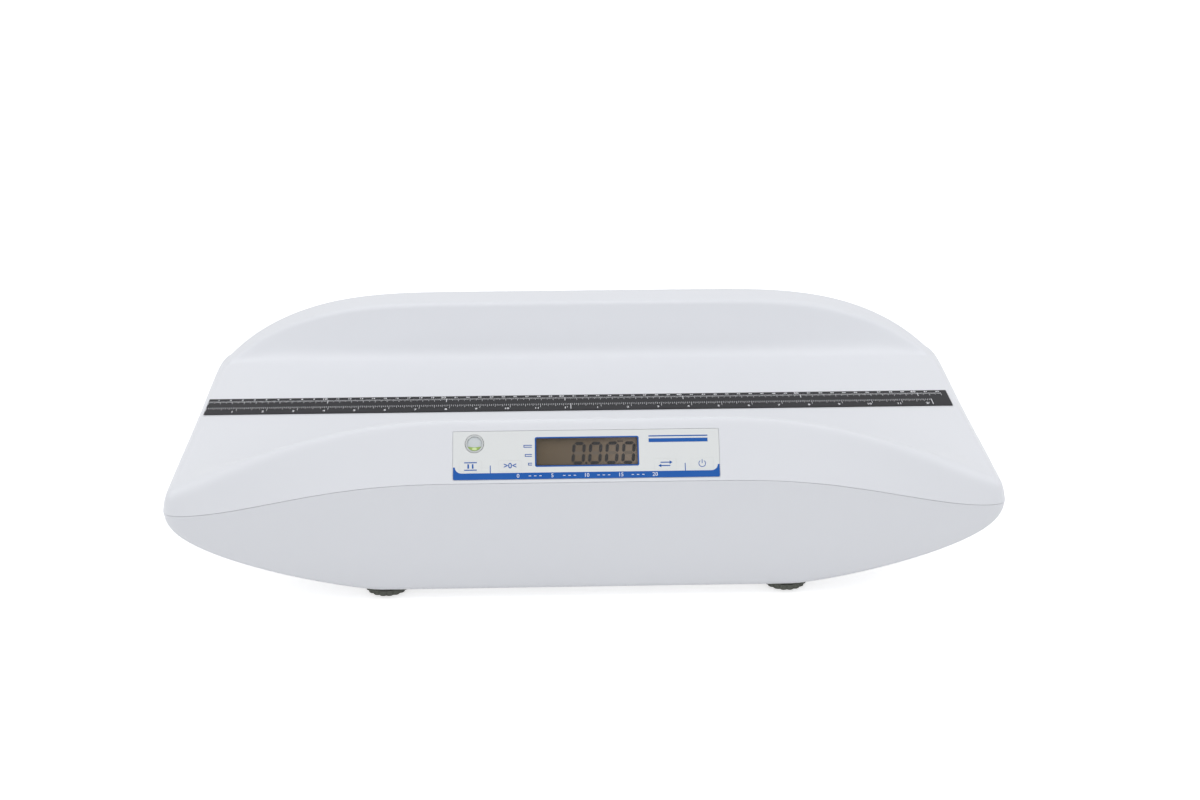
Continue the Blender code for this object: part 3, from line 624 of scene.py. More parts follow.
def displayGlass(name):  # warm grey-brown, lighter to the right, with painted shadow along its lower and right edges
    paint = Paint(name).set(Specular_IOR_Level=0.05)
    place = paint.node("ShaderNodeSeparateXYZ", {}, [paint.coords()])
    height = paint.node("ShaderNodeSeparateXYZ", {}, [paint.coords()], output=2)
    across = (place - glass["left"]) * (1 / glass["wide"])
    lowest = onPanel(0, glass["foot"], display["top"]).translation.z
    up = (height - lowest) * (1 / (glass["tall"] * slope.z))
    stops = [(0, glass["leftTone"]), (1, glass["rightTone"]), (0.55, glass["middleTone"])]
    tone = paint.ramp(across, stops)
    streaks = paint.node("ShaderNodeMapping", {}, {"Vector": paint.coords(), "Scale": (700, 8, 8)})
    faint = paint.noise(1.0, 2, coords=streaks)
    tone = paint.mix(faint * 0.22, tone, glass["streak"])
    # painted shadow: darker towards the display's lower edge
    low = paint.ramp(up, [(0.06, (1, 1, 1)), (0.17, (0, 0, 0))])
    tone = paint.mix(low * 0.8, tone, glass["dark"])
    # painted shadow: darker towards the display's right edge
    edge = paint.ramp(across, [(0.965, (0, 0, 0)), (1, (1, 1, 1))])
    paint.set(Base_Color=paint.mix(edge * 0.6, tone, glass["dark"]))
    paint.set(Roughness=faint * 0.08 + 0.3)
    return paint.material


def makeFinishes():
    finishes = {
        "metal": brushedMetal("platedSteel", (0.62, 0.62, 0.64), 0.3),
        "board": circuitBoard("circuitBoard"), "sleeve": cellSleeve("cellSleeve"),
        "rubber": grained("padRubber", 700, 4, pads.values(), (0.15, 0.75), (0.25, 0.0003)),
        "clear": grained("clearWindow", 60, 3, ((0.291,) * 3, (0.3,) * 3), (0.04, 0.04),
                         (0.02, 0.0002), Alpha=0.04, IOR=1.45),
        "liquid": grained("levelLiquid", 80, 2, ((0.52, 0.66, 0.36), (0.60, 0.72, 0.44)),
                          (0.05, 0.05), IOR=1.33),
        "display": displayGlass("displayGlass"),
    }
    for key, name, colour, roughness, others in plastics:
        finishes[key] = mouldedPlastic(name, colour, roughness, **others)
    for name, colour in inks.items():
        finishes[name] = mouldedPlastic(name, colour, **inkLook)
    return finishes


def finishFor(node):
    rules = (
        ("battery_lead", "leadBlack"), ("jack_lead", "leadBlack"), ("load_cell_lead", "lead"),
        ("load_cell", "metal"), ("battery_contact", "metal"), ("board_screw", "metal"),
        ("shell_screw", "metal"), ("battery_box", "black"), ("battery_door", "white"),
        ("battery", "sleeve"), ("foot_wheel", "wheel"), ("foot_pad", "rubber"), ("key", "film"),
        ("panel_overlay", "film"), ("level_cup", "film"), ("level_lens", "clear"),
        ("level_liquid", "liquid"), ("lcd_window", "clear"), ("lcd_module", "lcd"),
        ("lcd_holder", "black"), ("switch", "black"), ("power_jack", "black"), ("main", "board"),
        ("board_chip", "black"), ("ruler_tape", "tape"), ("tray", "white"), ("base", "white"),
    )
    return next(finish for start, finish in rules if node.startswith(start))


def finishNodes(finishes):
    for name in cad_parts:
        solid = bpy.data.objects[name]
        solid.data.materials.clear()
        solid.data.materials.append(finishes[finishFor(name)])
    print("scale: solids finished", len(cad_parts))


# camera and studio

camera = {
    "lens": 54.32, "place": (-24.82 * mm, -1388.11 * mm, 715.518 * mm),
    "yaw": 0.0284, "down": 0.41822433, "roll": -0.00119928,
}


def makeCamera():
    data = bpy.data.cameras.new("photoCamera")
    data.lens = camera["lens"]
    data.sensor_width = 36
    data.clip_start = 0.02
    view = addObject("photoCamera", data)
    yaw, down, roll = camera["yaw"], camera["down"], camera["roll"]
    ahead = Vector((math.sin(yaw) * math.cos(down), math.cos(yaw) * math.cos(down), -math.sin(down)))
    right = Vector((math.cos(yaw), -math.sin(yaw), 0))
    up = right.cross(ahead)
    side = right * math.cos(roll) + up * math.sin(roll)
    top = up * math.cos(roll) - right * math.sin(roll)
    view.matrix_world = fromAxes(side, top, -ahead, camera["place"])
    bpy.context.scene.camera = view


def addLamp(name, place, target, wide, power, tall):
    data = bpy.data.lights.new(name, "AREA")
    data.shape = "RECTANGLE"
    data.size = wide
    data.size_y = tall
    data.energy = power
    lamp = addObject(name, data)
    lamp.location = place
    lamp.rotation_euler = (Vector(target) - Vector(place)).to_track_quat("-Z", "Y").to_euler()


studio = {
    "world": 0.52, "sky": (0.93, 0.95, 1.0, 1), "glow": 0.68, "floor": 0.76, "floorSize": 8,
    "floorDrop": 0.0005,
    "lamps": (  # name, place, aim, width, power, height
        ("topSoftbox", (0, 0.35, 1.7), (0, 0, 0.1), 1.6, 6.7, 1.2),
        ("leftSoftbox", (-1.5, -0.1, 1.15), (0, 0, 0.08), 1.0, 6.6, 1.0),
        ("rightSoftbox", (1.5, -0.1, 1.15), (0, 0, 0.08), 1.0, 6.6, 1.0),
        ("frontSoftbox", (0, -1.9, 0.5), (0, 0, 0.08), 1.2, 6.2, 0.5),
    ),
}


def seenRays(tree):  # rays from the camera, from gloss and through clear parts
    path = tree.nodes.new("ShaderNodeLightPath")
    seen = path.outputs["Is Camera Ray"]
    for name in ("Is Glossy Ray", "Is Transmission Ray"):
        most = tree.nodes.new("ShaderNodeMath")
        most.operation = "MAXIMUM"
        tree.links.new(seen, most.inputs[0])
        tree.links.new(path.outputs[name], most.inputs[1])
        seen = most.outputs[0]
    return seen


def chooseByRays(tree, lights, shown, output):  # one shader lights the scene, the other is seen
    choose = tree.nodes.new("ShaderNodeMixShader")
    tree.links.new(seenRays(tree), choose.inputs[0])
    tree.links.new(lights.outputs[0], choose.inputs[1])
    tree.links.new(shown.outputs[0], choose.inputs[2])
    tree.links.new(choose.outputs[0], tree.nodes[output].inputs[0])


def makeStudio():
    deselectAll()
    bpy.ops.mesh.primitive_plane_add(size=studio["floorSize"], location=(0, 0, -studio["floorDrop"]))
    floor = freezePlace(bpy.context.object)
    floor.name = "floor"
    paint = Paint("floorWhite")
    glow = paint.node("ShaderNodeEmission", {}, {"Color": (1, 1, 1, 1), "Strength": studio["glow"]})
    tone = studio["floor"]
    paint.set(Base_Color=(tone, tone, tone, 1), Roughness=0.9)
    both = paint.tree.nodes.new("ShaderNodeAddShader")
    paint.tree.links.new(paint.shader.outputs[0], both.inputs[0])
    paint.tree.links.new(glow.socket, both.inputs[1])
    chooseByRays(paint.tree, paint.shader, both, "Material Output")
    floor.data.materials.append(paint.material)
    world = bpy.data.worlds.new("studio")
    bpy.context.scene.world = world
    world.use_nodes = True
    tree = world.node_tree
    back = tree.nodes["Background"]
    back.inputs[0].default_value = studio["sky"]
    back.inputs[1].default_value = studio["world"]
    white = tree.nodes.new("ShaderNodeBackground")
    white.inputs[0].default_value = (1, 1, 1, 1)
    chooseByRays(tree, back, white, "World Output")
    for lamp in studio["lamps"]:
        addLamp(*lamp)
    bpy.context.scene.view_settings.view_transform = "Standard"
    print("scale: studio")


# ruler tape: ticks and plain numbers, centimetres behind and inches in front

ruler = {
    "front": -9.5 * mm, "width": 31 * mm, "start": -314.7 * mm, "ink": 0.08 * mm, "lift": 0.86 * mm,
    "centimetres": 62, "inches": 24, "tick": 0.25 * mm, "boldTick": 0.55 * mm,
    "digit": 3.5 * mm, "bold": 0.07 * mm, "centimetreFoot": 0.17, "inchFoot": 0.57,
    "centimetreRow": 0.09, "inchRow": 0.86, "parts": 16,
    "centimetreEnds": ((1, 0.25), (5, 0.30), (10, 0.34), (100, 0.38)),
    "inchEnds": ((1, 0.66), (2, 0.68), (4, 0.71), (8, 0.74), (16, 0.80)),
    "centimetreBold": (100, 0.38), "inchBold": (192, 0.92),
    # sizes of the numbers and how far they stand before their ticks
    "number": (0.9, 2.2 * mm), "bigNumber": (1.25, 3.0 * mm),
    "inchNumber": (1.2, 3.0 * mm), "footNumber": (1.45, 4.2 * mm),
}


def rulerHeight(y):  # the tape's top over the hollow floor
    path = traySection(0, 0)
    for a, b in zip(path, path[1:]):
        if a.x <= y <= b.x and max(a.y, b.y) < body["floor"] + mm:
            return a.y + (b.y - a.y) * (y - a.x) / (b.x - a.x) + ruler["lift"]
    return body["floor"]


def addTick(mesh, x, low, high, wide):  # one inked bar as a thin slab
    sides = (x - wide / 2, x + wide / 2)
    flat = [(sides[0], low), (sides[1], low), (sides[1], high), (sides[0], high)]
    bottom = [mesh.verts.new((px, y, rulerHeight(y))) for px, y in flat]
    top = [mesh.verts.new((v.co.x, v.co.y, v.co.z + ruler["ink"])) for v in bottom]
    mesh.faces.new(list(reversed(bottom)))
    mesh.faces.new(top)
    for i in range(4):
        j = (i + 1) % 4
        mesh.faces.new((bottom[i], bottom[j], top[j], top[i]))


def rulerAcross(share):  # place across the tape, counted from its rear edge
    return ruler["front"] + ruler["width"] * (1 - share)


def tickRow(mesh, count, pitch, ends, bold, foot):  # the last split that fits sets the length
    for step in range(count + 1):
        end = [reach for split, reach in ends if step % split == 0][-1]
        wide = ruler["tick"]
        if step and step % bold[0] == 0:
            end, wide = bold[1], ruler["boldTick"]
        x = ruler["start"] + step * pitch
        addTick(mesh, x, rulerAcross(end), rulerAcross(foot), wide)


def tickMarks():
    mesh = bmesh.new()
    parts = ruler["parts"]
    for count, pitch, name in (
        (ruler["centimetres"] * 10, mm, "centimetre"), (ruler["inches"] * parts, inch / parts, "inch"),
    ):
        tickRow(mesh, count, pitch, ruler[name + "Ends"], ruler[name + "Bold"], ruler[name + "Foot"])
    data = bpy.data.meshes.new("rulerTicks")
    mesh.to_mesh(data)
    mesh.free()
    return addObject("rulerTicks", data)


def writeWord(word, size, place, thick, bold=0.0):  # plain figures as thin raised ink
    deselectAll()
    bpy.ops.object.text_add()
    text = bpy.context.object
    text.data.body = word
    text.data.size = size
    text.data.align_x = "CENTER"
    text.data.align_y = "CENTER"
    text.data.extrude = thick / 2
    text.data.offset = bold
    text.data.resolution_u = 3
    bpy.ops.object.convert(target="MESH")
    text = bpy.context.object
    text.data.transform(place)
    return text


def rulerNumber(word, x, row, size):
    y, thick = rulerAcross(row), ruler["ink"]
    place = Matrix.Translation((ruler["start"] + x, y, rulerHeight(y) + thick / 2))
    return writeWord(word, ruler["digit"] * size, place, thick, ruler["bold"])


def makeRuler(ink):
    pieces = [tickMarks()]
    for number in range(1, ruler["centimetres"] + 1):
        size, back = ruler["bigNumber"] if number % 10 == 0 else ruler["number"]
        x = number * 10 * mm - back
        pieces.append(rulerNumber(str(number), x, ruler["centimetreRow"], size))
    for number in range(1, ruler["inches"] + 1):
        whole = number % 12 == 0
        size, back = ruler["footNumber"] if whole else ruler["inchNumber"]
        word = str(number // 12) + "'" if whole else str(number % 12)
        pieces.append(rulerNumber(word, number * inch - back, ruler["inchRow"], size))
    marks = joinPieces(pieces)
    print("scale: ruler marks", len(marks.data.polygons))
    return takeOver(marks, "rulerMarks", ink, "housing")


# printed panel: blue bar, key legends, display figures

printed = {
    "thick": 0.06 * mm, "barLow": 5.1 * mm, "barEnd": 9.9 * mm, "barRound": 5.0 * mm, "inset": 0.12 * mm,
    "barSide": 1.3 * mm, "barCorner": 1.1 * mm, "stand": 0.02 * mm, "frameWide": 1.0 * mm,
    "frameCorner": 0.4 * mm, "frameLap": 0.4 * mm, "keyRoom": 0.12 * mm, "vialRoom": 0.3 * mm,
    "faceLap": 3 * mm, "numberStep": 26 * mm, "numberSize": 4.2 * mm, "numberBold": 0.03 * mm,
    "dash": 1.8 * mm, "dashHigh": 0.5 * mm, "dashStep": 4 * mm,
}


def blueBar(ink):  # a bar along the foot of the film whose ends rise in round corners
    half = panel["width"] / 2 - printed["inset"]
    low = -panel["height"] / 2 + printed["inset"]
    top = low + printed["barLow"]
    end = low + printed["barEnd"]
    curve, corner, wide = printed["barRound"], printed["barCorner"], printed["barSide"]
    inner = half - wide - curve
    points = arc(-half + corner, low + corner, corner, 180, 90, 8)
    points += arc(half - corner, low + corner, corner, -90, 90, 8)
    points += [(half, end), (half - wide, end)]
    points += arc(inner, top + curve, curve, 0, -90, 8)
    points += arc(-inner, top + curve, curve, -90, -90, 8)
    points += [(-half + wide, end), (-half, end)]
    stand = printed["stand"]
    bar = outlineSlab(points, stand, printed["thick"] + stand, panelPlace)
    return takeOver(bar, "blueBar", ink, "housing")


def windowFrame(ink):
    place = onPanel(panel["windowX"], panel["windowY"])
    lap, wide, corner = printed["frameLap"], printed["frameWide"], printed["frameCorner"]
    width, height = panel["windowWidth"] - lap, panel["windowHeight"] - lap
    low, high = printed["stand"], printed["stand"] + printed["thick"]
    outside = roundedRectangle(width + 2 * wide, height + 2 * wide, corner + wide)
    frameRing = outlineSlab(outside, low, high, place)
    opening = outlineSlab(roundedRectangle(width, height, corner), low - mm, high + mm, place)
    cutOut(frameRing, [opening])
    return takeOver(frameRing, "windowFrame", ink, "housing")


def filmSheet(material):  # the keys sit in it almost without a gap
    outline = roundedRectangle(panel["width"], panel["height"], panel["corner"])
    sheet = outlineSlab(outline, -panel["film"], 0, panelPlace)
    near, deep = printed["keyRoom"], 4 * mm
    window = (panel["windowWidth"], panel["windowHeight"], deep)
    holes = [addBox(window, onPanel(panel["windowX"], panel["windowY"]))]
    vial = onPanel(panel["vialX"], panel["vialY"])
    holes.append(addRod(panel["vialRadius"] + printed["vialRoom"], -deep / 2, deep / 2, vial, sides=96))
    for x in keyPlaces.values():
        key = (panel["keyWidth"] + near, panel["keyHeight"] + near, deep)
        holes.append(addBox(key, onPanel(x, panel["keyY"])))
    cutOut(sheet, holes)
    return takeOver(smoothen(sheet), "filmSheet", material, "housing", ["panel_overlay"])


def displayFace(material):
    place = onPanel(panel["windowX"], panel["windowY"])
    lap, low = printed["faceLap"], display["top"]
    outline = roundedRectangle(panel["windowWidth"] + lap, panel["windowHeight"] + lap, panel["corner"])
    face = outlineSlab(outline, low, low + display["face"], place)
    return takeOver(face, "displayFace", material, "housing")


def bars(places, place):  # small printed bars, each given as x, y, width and height
    high = printed["thick"]
    pieces = []
    for x, y, wide, tall in places:
        pieces.append(addBox((wide, tall, high), place @ Matrix.Translation((x, y, high / 2))))
    return pieces


signs = {  # bars as x, y, width and height in millimetres
    "holdBars": ((0, 2.9, 9.6, 0.75), (0, -2.9, 9.6, 0.75), (-1.7, 0, 1.2, 3.4), (1.7, 0, 1.2, 3.4)),
    "unitBars": ((0, 1.3, 7.4, 0.75), (0, -1.3, 7.4, 0.75)),
    "arrow": (5.4 * mm, 3.2 * mm, 1.3 * mm, 1.4 * mm), "zeroSize": 6 * mm, "zeroBold": 0.08 * mm,
    "ring": 2.3 * mm, "ringWide": 0.5 * mm, "ringStart": 125, "ringSweep": 290, "ringSteps": 26,
}


def inMillimetres(rows):
    return [tuple(value * mm for value in row) for row in rows]


def holdSign(place):
    return bars(inMillimetres(signs["holdBars"]), place)


def zeroSign(place):
    high = printed["thick"]
    middle = place @ Matrix.Translation((0, 0, high / 2))
    return [writeWord(">0<", signs["zeroSize"], middle, high, signs["zeroBold"])]


def unitSign(place):  # an arrow each way
    high = printed["thick"]
    pieces = bars(inMillimetres(signs["unitBars"]), place)
    tip, root, middle, half = signs["arrow"]
    for side in (-1, 1):
        ends = (side * (middle + half), side * (middle - half))
        points = [(side * tip, side * middle), (side * root, ends[0]), (side * root, ends[1])]
        pieces.append(outlineSlab(points, 0, high, place))
    return pieces


def powerSign(place):  # an open ring with a stroke in its gap
    high = printed["thick"]
    radius, wide = signs["ring"], signs["ringWide"]
    start, sweep, steps = signs["ringStart"], signs["ringSweep"], signs["ringSteps"]
    outline = arc(0, 0, radius + wide, start, sweep, steps)
    outline += arc(0, 0, radius, start + sweep, -sweep, steps)
    stroke = place @ Matrix.Translation((0, radius * 0.75, high / 2))
    return [outlineSlab(outline, 0, high, place), addBox((wide, radius * 1.3, high), stroke)]


def keyLegends(ink):  # plain signs in place of the key words
    makers = {"hold": holdSign, "zero": zeroSign, "unit": unitSign, "power": powerSign}
    for name, maker in makers.items():
        place = onPanel(keyPlaces[name], panel["keyY"], printed["stand"])
        sign = joinPieces(maker(place))
        takeOver(sign, name + "KeySign", ink, "key_" + name + "_body")


marks = {
    "dividers": (-73 * mm, 75 * mm), "dividerWide": 0.6 * mm, "dividerHigh": 6 * mm,
    "flagEdge": -41.3 * mm, "line": 0.55 * mm, "flagHalf": 0.75 * mm, "flagHigh": 2 * mm,
    "flags": ((6.9 * mm, 6.4 * mm), (-0.3 * mm, 5.4 * mm), (-7.2 * mm, 3 * mm)),
    "stripes": ((70.2, 10.4, 45, 3), (70.2, 13.8, 45, 0.9)),
}


def filmMarks(ink):  # dividers between the keys, small flags beside the display, plain stripes
    low = -panel["height"] / 2 + printed["inset"] + printed["barLow"]
    tall, edge, line = marks["dividerHigh"], marks["flagEdge"], marks["line"]
    rows = [(x, low + tall / 2, marks["dividerWide"], tall) for x in marks["dividers"]]
    for y, length in marks["flags"]:
        for step in (-1, 1):
            rows.append((edge - length / 2, y + step * marks["flagHalf"], length, line))
        rows.append((edge - length + line / 2, y, line, marks["flagHigh"]))
    rows += inMillimetres(marks["stripes"])
    piece = joinPieces(bars(rows, onPanel(0, 0, printed["stand"])))
    return takeOver(piece, "filmMarks", ink, "housing")


def barNumbers(ink):  # plain numbers in the blue bar with short dashes between them
    y = -panel["height"] / 2 + printed["inset"] + printed["barLow"] / 2
    thick, step = printed["thick"], printed["numberStep"]
    pieces = []
    for i in range(5):
        place = onPanel((i - 2) * step, y, thick * 2)
        pieces.append(writeWord(str(i * 5), printed["numberSize"], place, thick, printed["numberBold"]))
    rows = []
    for i in range(4):
        for k in (-1, 0, 1):
            x = (i - 1.5) * step + k * printed["dashStep"]
            rows.append((x, y, printed["dash"], printed["dashHigh"]))
    pieces += bars(rows, onPanel(0, 0, thick * 1.5))
    return takeOver(joinPieces(pieces), "barNumbers", ink, "housing")


display = {
    "top": -2.9 * mm, "digit": 17.8 * mm, "wide": 9 * mm, "stroke": 2.5 * mm, "pitch": 12.7 * mm,
    "first": -5.8 * mm, "lean": 0.085, "thick": 0.05 * mm, "split": 0.35 * mm,
    "face": 0.02 * mm, "lift": 0.04 * mm, "drop": 0.6 * mm, "dot": 0.95 * mm, "dotSides": 20,
    "dotIn": 0.7 * mm, "dotLow": 0.1 * mm, "flagX": 24.6 * mm, "flagY": 10.8 * mm, "flagStep": 1.5 * mm,
    "flag": (1.1 * mm, 0.9 * mm),
}


def segment(a, b):  # a bar with pointed ends between two points
    a, b = Vector(a), Vector(b)
    way = (b - a).normalized()
    side = Vector((-way.y, way.x)) * display["stroke"] / 2
    a += way * display["split"]
    b -= way * display["split"]
    point = way * display["stroke"] / 2
    outline = [a, a + point - side, b - point - side, b, b - point + side, a + point + side]
    return [(p.x + p.y * display["lean"], p.y) for p in outline]


def makeDigits(ink, faint):
    w, h = display["wide"] / 2, display["digit"] / 2 - display["stroke"] / 2
    w -= display["stroke"] / 4
    corners = {"a": ((-w, h), (w, h)), "b": ((w, h), (w, 0)), "c": ((w, 0), (w, -h)),
               "d": ((-w, -h), (w, -h)), "e": ((-w, 0), (-w, -h)), "f": ((-w, h), (-w, 0))}
    low, thick = display["top"] + display["lift"], display["thick"]
    dark, ghost = [], []
    for i in range(4):
        place = onPanel(display["first"] + i * display["pitch"], panel["windowY"] - display["drop"])
        for a, b in corners.values():
            if a[1] == b[1]:
                a, b = sorted((a, b))
            else:
                a, b = (a, b) if a[1] < b[1] else (b, a)
            dark.append(outlineSlab(segment(a, b), low, low + thick, place))
        ghost.append(outlineSlab(segment((-w, 0), (w, 0)), low, low + thick / 2, place))
        if i < 3:
            across = display["pitch"] / 2 - display["dotIn"]
            spot = place @ Matrix.Translation((across, -h - display["dotLow"], 0))
            target = dark if i == 0 else ghost
            target.append(addRod(display["dot"], low, low + thick, spot, sides=display["dotSides"]))
    for k in range(3):  # the small unit flag
        spot = onPanel(display["flagX"] + display["flagStep"] * k, display["flagY"], low + thick / 2)
        dark.append(addBox((*display["flag"], thick), spot))
    takeOver(joinPieces(dark), "displayDigits", ink, "housing")
    takeOver(joinPieces(ghost), "displayGhosts", faint, "housing")


level = {
    "ringRoom": 0.05 * mm, "ringLow": -0.8 * mm, "ringHigh": 0.25 * mm, "ringEdge": 0.2 * mm,
    "ringWide": 1.1 * mm, "domeIn": 1.3 * mm, "domeLow": 0.9 * mm, "flat": 0.16,
    "poolIn": 1.5 * mm, "poolStart": 205, "poolSweep": 130, "poolSag": 0.5 * mm,
    "poolDeep": 0.02 * mm, "poolHigh": 0.1 * mm,
    "bubble": (2 * mm, 1 * mm, 0.16 * mm), "bubbleIn": 1.35 * mm, "bubbleHigh": 0.12 * mm,
}


def addDome(sides, radius, scale, spot, place):  # a ball pressed flat
    deselectAll()
    bpy.ops.mesh.primitive_uv_sphere_add(segments=sides, ring_count=sides // 2, radius=radius)
    dome = bpy.context.object
    dome.scale = scale
    freezePlace(dome)
    dome.data.transform(place @ Matrix.Translation(spot))
    return smoothen(dome)


def makeLevel(finishes):
    place = onPanel(panel["vialX"], panel["vialY"])
    rim = panel["vialRadius"]
    low, high = level["ringLow"], level["ringHigh"]
    ring = addRod(rim - level["ringRoom"], low, high, place, sides=64, bevel=level["ringEdge"])
    cutOut(ring, [addRod(rim - level["ringWide"], -2 * mm, 2 * mm, place, sides=64)])
    takeOver(smoothen(ring), "levelRing", finishes["ring"], "housing")
    dome = addDome(48, rim - level["domeIn"], (1, 1, level["flat"]), (0, 0, -level["domeLow"]), place)
    takeOver(dome, "levelDome", finishes["dome"], "housing", ["level_lens"])
    reach = rim - level["poolIn"]
    points = arc(0, 0, reach, level["poolStart"], level["poolSweep"], 24)
    across, low = points[-1]
    for i in range(1, 16):  # crescent pool: the lower arc, back along a flatter one
        t = i / 16
        points.append((across * (1 - 2 * t), low - level["poolSag"] * math.sin(math.pi * t)))
    pool = outlineSlab(points, -level["poolDeep"], level["poolHigh"], place)
    takeOver(pool, "levelPool", finishes["pool"], "housing")
    spot = (0, -reach + level["bubbleIn"], level["bubbleHigh"])
    bubble = addDome(32, 1, level["bubble"], spot, place)
    takeOver(bubble, "levelBubble", finishes["bubble"], "housing")
    print("scale: level")


foot = {
    "lobes": 18, "depth": 1.1 * mm, "steps": 10, "power": 0.7, "tall": 4.4 * mm, "edge": 0.35 * mm,
    "stud": 4 * mm, "padEdge": 0.4 * mm, "padRim": 2.6 * mm, "padHollow": 0.5 * mm, "flat": 0.99,
}


def middleOf(node):  # the node's lowest and highest corners, and the axis up through it
    low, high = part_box(node)
    return low, high, Matrix.Translation(((low[0] + high[0]) / 2, (low[1] + high[1]) / 2, 0))


def lobeReach(radius, turn):  # the scalloped edge's distance from the axis
    swell = abs(math.cos(foot["lobes"] * turn / 2)) ** foot["power"]
    return radius - foot["depth"] * (1 - swell)


def makeWheel(corner, material):
    node = "foot_wheel_" + corner
    low, high, place = middleOf(node)
    radius = (high[0] - low[0]) / 2
    count = foot["lobes"] * foot["steps"]
    points = []
    for i in range(count):
        turn = 2 * math.pi * i / count
        reach = lobeReach(radius, turn)
        points.append((reach * math.cos(turn), reach * math.sin(turn)))
    wheel = outlineSlab(points, low[2], low[2] + foot["tall"])
    pickFaces(wheel, lambda z: abs(z) > foot["flat"])
    bpy.ops.mesh.inset(thickness=foot["edge"], depth=0)
    bpy.ops.object.mode_set(mode="OBJECT")
    middle = low[2] + foot["tall"] / 2
    for vertex in wheel.data.vertices:  # the outer edges move in, which bevels them
        reach = math.hypot(vertex.co.x, vertex.co.y)
        turn = math.atan2(vertex.co.y, vertex.co.x)
        if reach > lobeReach(radius, turn) - foot["edge"] / 2:
            vertex.co.z += foot["edge"] if vertex.co.z < middle else -foot["edge"]
    stud = addRod(foot["stud"], middle, high[2], sides=32)
    wheel = joinPieces([wheel, stud])
    wheel.data.transform(place)
    takeOver(smoothen(wheel, 35), "footWheel_" + corner, material, node + "_body", [node])


def makePad(corner, material):
    node = "foot_pad_" + corner
    low, high, place = middleOf(node)
    pad = addRod((high[0] - low[0]) / 2, low[2], high[2], place, sides=64, bevel=foot["padEdge"])
    pickFaces(pad, lambda z: z < -foot["flat"])
    bpy.ops.mesh.inset(thickness=foot["padRim"], depth=0)
    bpy.ops.mesh.inset(thickness=foot["padHollow"], depth=-foot["padHollow"])
    bpy.ops.object.mode_set(mode="OBJECT")
    takeOver(smoothen(pad, 35), "footPad_" + corner, material, node + "_body", [node])


screw = {
    "tall": 2.2 * mm, "edge": 0.5 * mm, "shank": 1.8 * mm,
    "slot": 4.6 * mm, "slotWide": 0.9 * mm, "slotDeep": 0.9 * mm,
}


def makeScrews(material):  # rounded heads with a cross recess, under the base
    low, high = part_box("shell_screw_1")
    head = addRod((high[0] - low[0]) / 2, low[2], low[2] + screw["tall"], sides=48, bevel=screw["edge"])
    long, wide, deep = screw["slot"], screw["slotWide"], screw["slotDeep"]
    spot = Matrix.Translation((0, 0, low[2]))
    cutOut(head, [addBox((long, wide, 2 * deep), spot)])
    cutOut(head, [addBox((wide, long, 2 * deep), spot)])
    shank = addRod(screw["shank"], low[2] + screw["tall"] / 2, high[2], sides=24)
    pattern = smoothen(joinPieces([head, shank]), 35)
    for number in range(1, 5):
        node = "shell_screw_" + str(number)
        copy = addObject("shellScrew_" + str(number), pattern.data.copy())
        copy.data.transform(middleOf(node)[2])
        takeOver(copy, "shellScrew_" + str(number), material, "housing", [node])
    bpy.data.objects.remove(pattern)


door = {
    "ribs": 6, "pitch": 1.9 * mm, "long": 30 * mm, "shorter": 2 * mm, "wide": 0.9 * mm,
    "proud": 0.4 * mm, "from": 5 * mm, "edge": 0.15 * mm,
    "arrowGap": 1 * mm, "arrowHalf": 3.5 * mm, "arrowLong": 4.5 * mm,
}


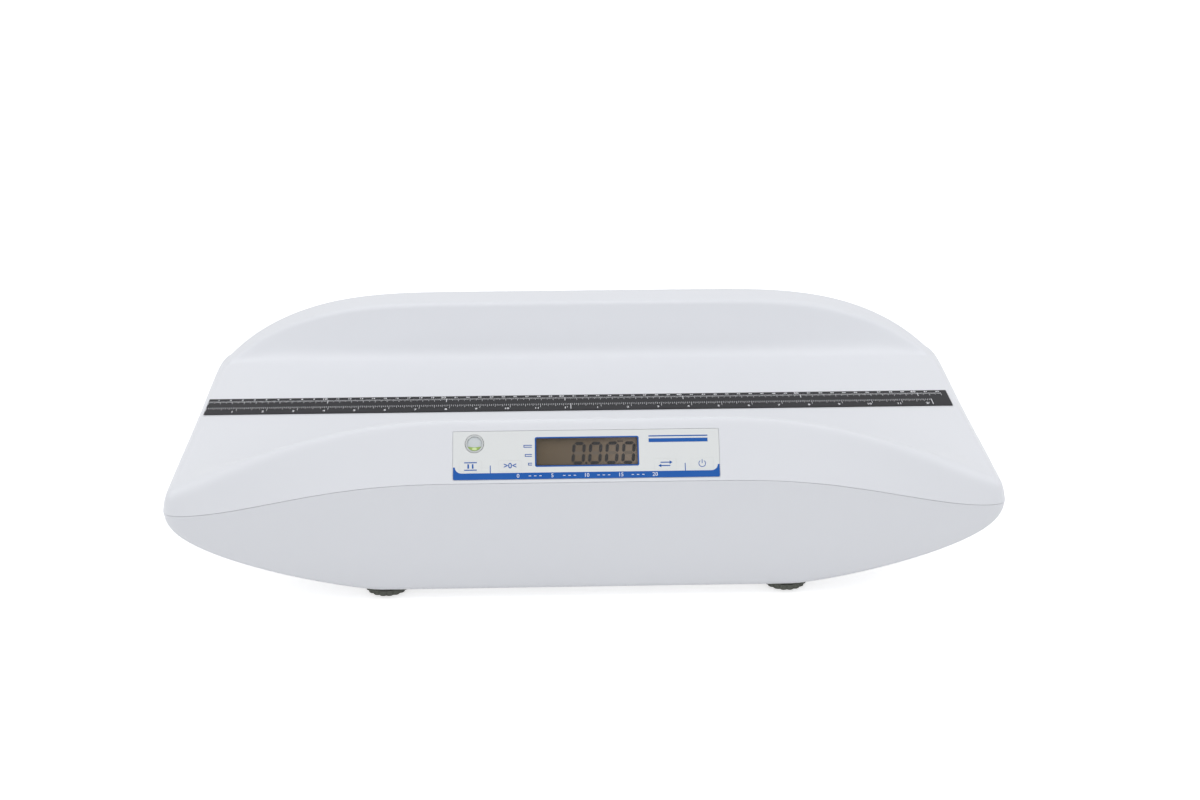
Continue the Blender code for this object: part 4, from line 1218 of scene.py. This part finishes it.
def doorGrip(material):  # raised ribs by the door's free edge, and an arrow towards it
    low, _, place = middleOf("battery_door")
    middle, proud = place.translation.x, door["proud"]
    pieces = []
    for i in range(door["ribs"]):
        size = (door["long"] - i * door["shorter"], door["wide"], 2 * proud)
        y = low[1] + door["from"] + i * door["pitch"]
        pieces.append(addBox(size, Matrix.Translation((middle, y, low[2])), bevel=door["edge"]))
    tip = low[1] + door["from"] + door["ribs"] * door["pitch"] + door["arrowGap"]
    half, root = door["arrowHalf"], tip + door["arrowLong"]
    points = [(0, tip), (half, root), (-half, root)]
    spot = Matrix.Translation((middle, 0, 0))
    pieces.append(outlineSlab(points, low[2] - proud, low[2] + proud, spot))
    takeOver(joinPieces(pieces), "doorGrip", material, "battery_door_body")


jack = {
    "ring": 3.05 * mm, "hollow": 2.6 * mm, "deep": 5 * mm, "back": 0.2 * mm, "edge": 0.12 * mm,
    "pin": 1.06 * mm, "tip": 4.8 * mm, "root": 8.9 * mm, "pinEdge": 0.4 * mm,
}


def jackMetal(material):  # the socket's sleeve and its middle pin
    low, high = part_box("power_jack")
    middle = ((low[0] + high[0]) / 2, high[1], (low[2] + high[2]) / 2)
    place = Matrix.Translation(middle) @ Matrix.Rotation(math.radians(-90), 4, "X")
    sleeve = addRod(jack["ring"], -jack["deep"], -jack["back"], place, sides=48, bevel=jack["edge"])
    cutOut(sleeve, [addRod(jack["hollow"], -2 * jack["deep"], jack["deep"], place, sides=48)])
    low, high = -jack["root"], -jack["tip"]
    pin = addRod(jack["pin"], low, high, place, sides=32, bevel=jack["pinEdge"])
    takeOver(smoothen(joinPieces([sleeve, pin]), 35), "jackMetal", material, "housing")


def makeUnderside(finishes):
    for corner in ("front_left", "rear_left", "front_right", "rear_right"):
        makeWheel(corner, finishes["wheel"])
        makePad(corner, finishes["rubber"])
    makeScrews(finishes["metal"])
    doorGrip(finishes["white"])
    jackMetal(finishes["metal"])
    print("scale: feet, screws, door grip and jack")


finishes = makeFinishes()
finishNodes(finishes)
makeCamera()
makeStudio()
makeTray(finishes["white"])
makeBase(finishes["white"])
makeRuler(finishes["rulerInk"])
blueBar(finishes["blue"])
windowFrame(finishes["blue"])
keyLegends(finishes["blue"])
filmMarks(finishes["blue"])
barNumbers(finishes["whiteInk"])
filmSheet(finishes["film"])
print("scale: printed panel")
displayFace(finishes["display"])
makeDigits(finishes["lcdInk"], finishes["lcdGhost"])
makeLevel(finishes)
makeUnderside(finishes)
print("scale: pieces made")
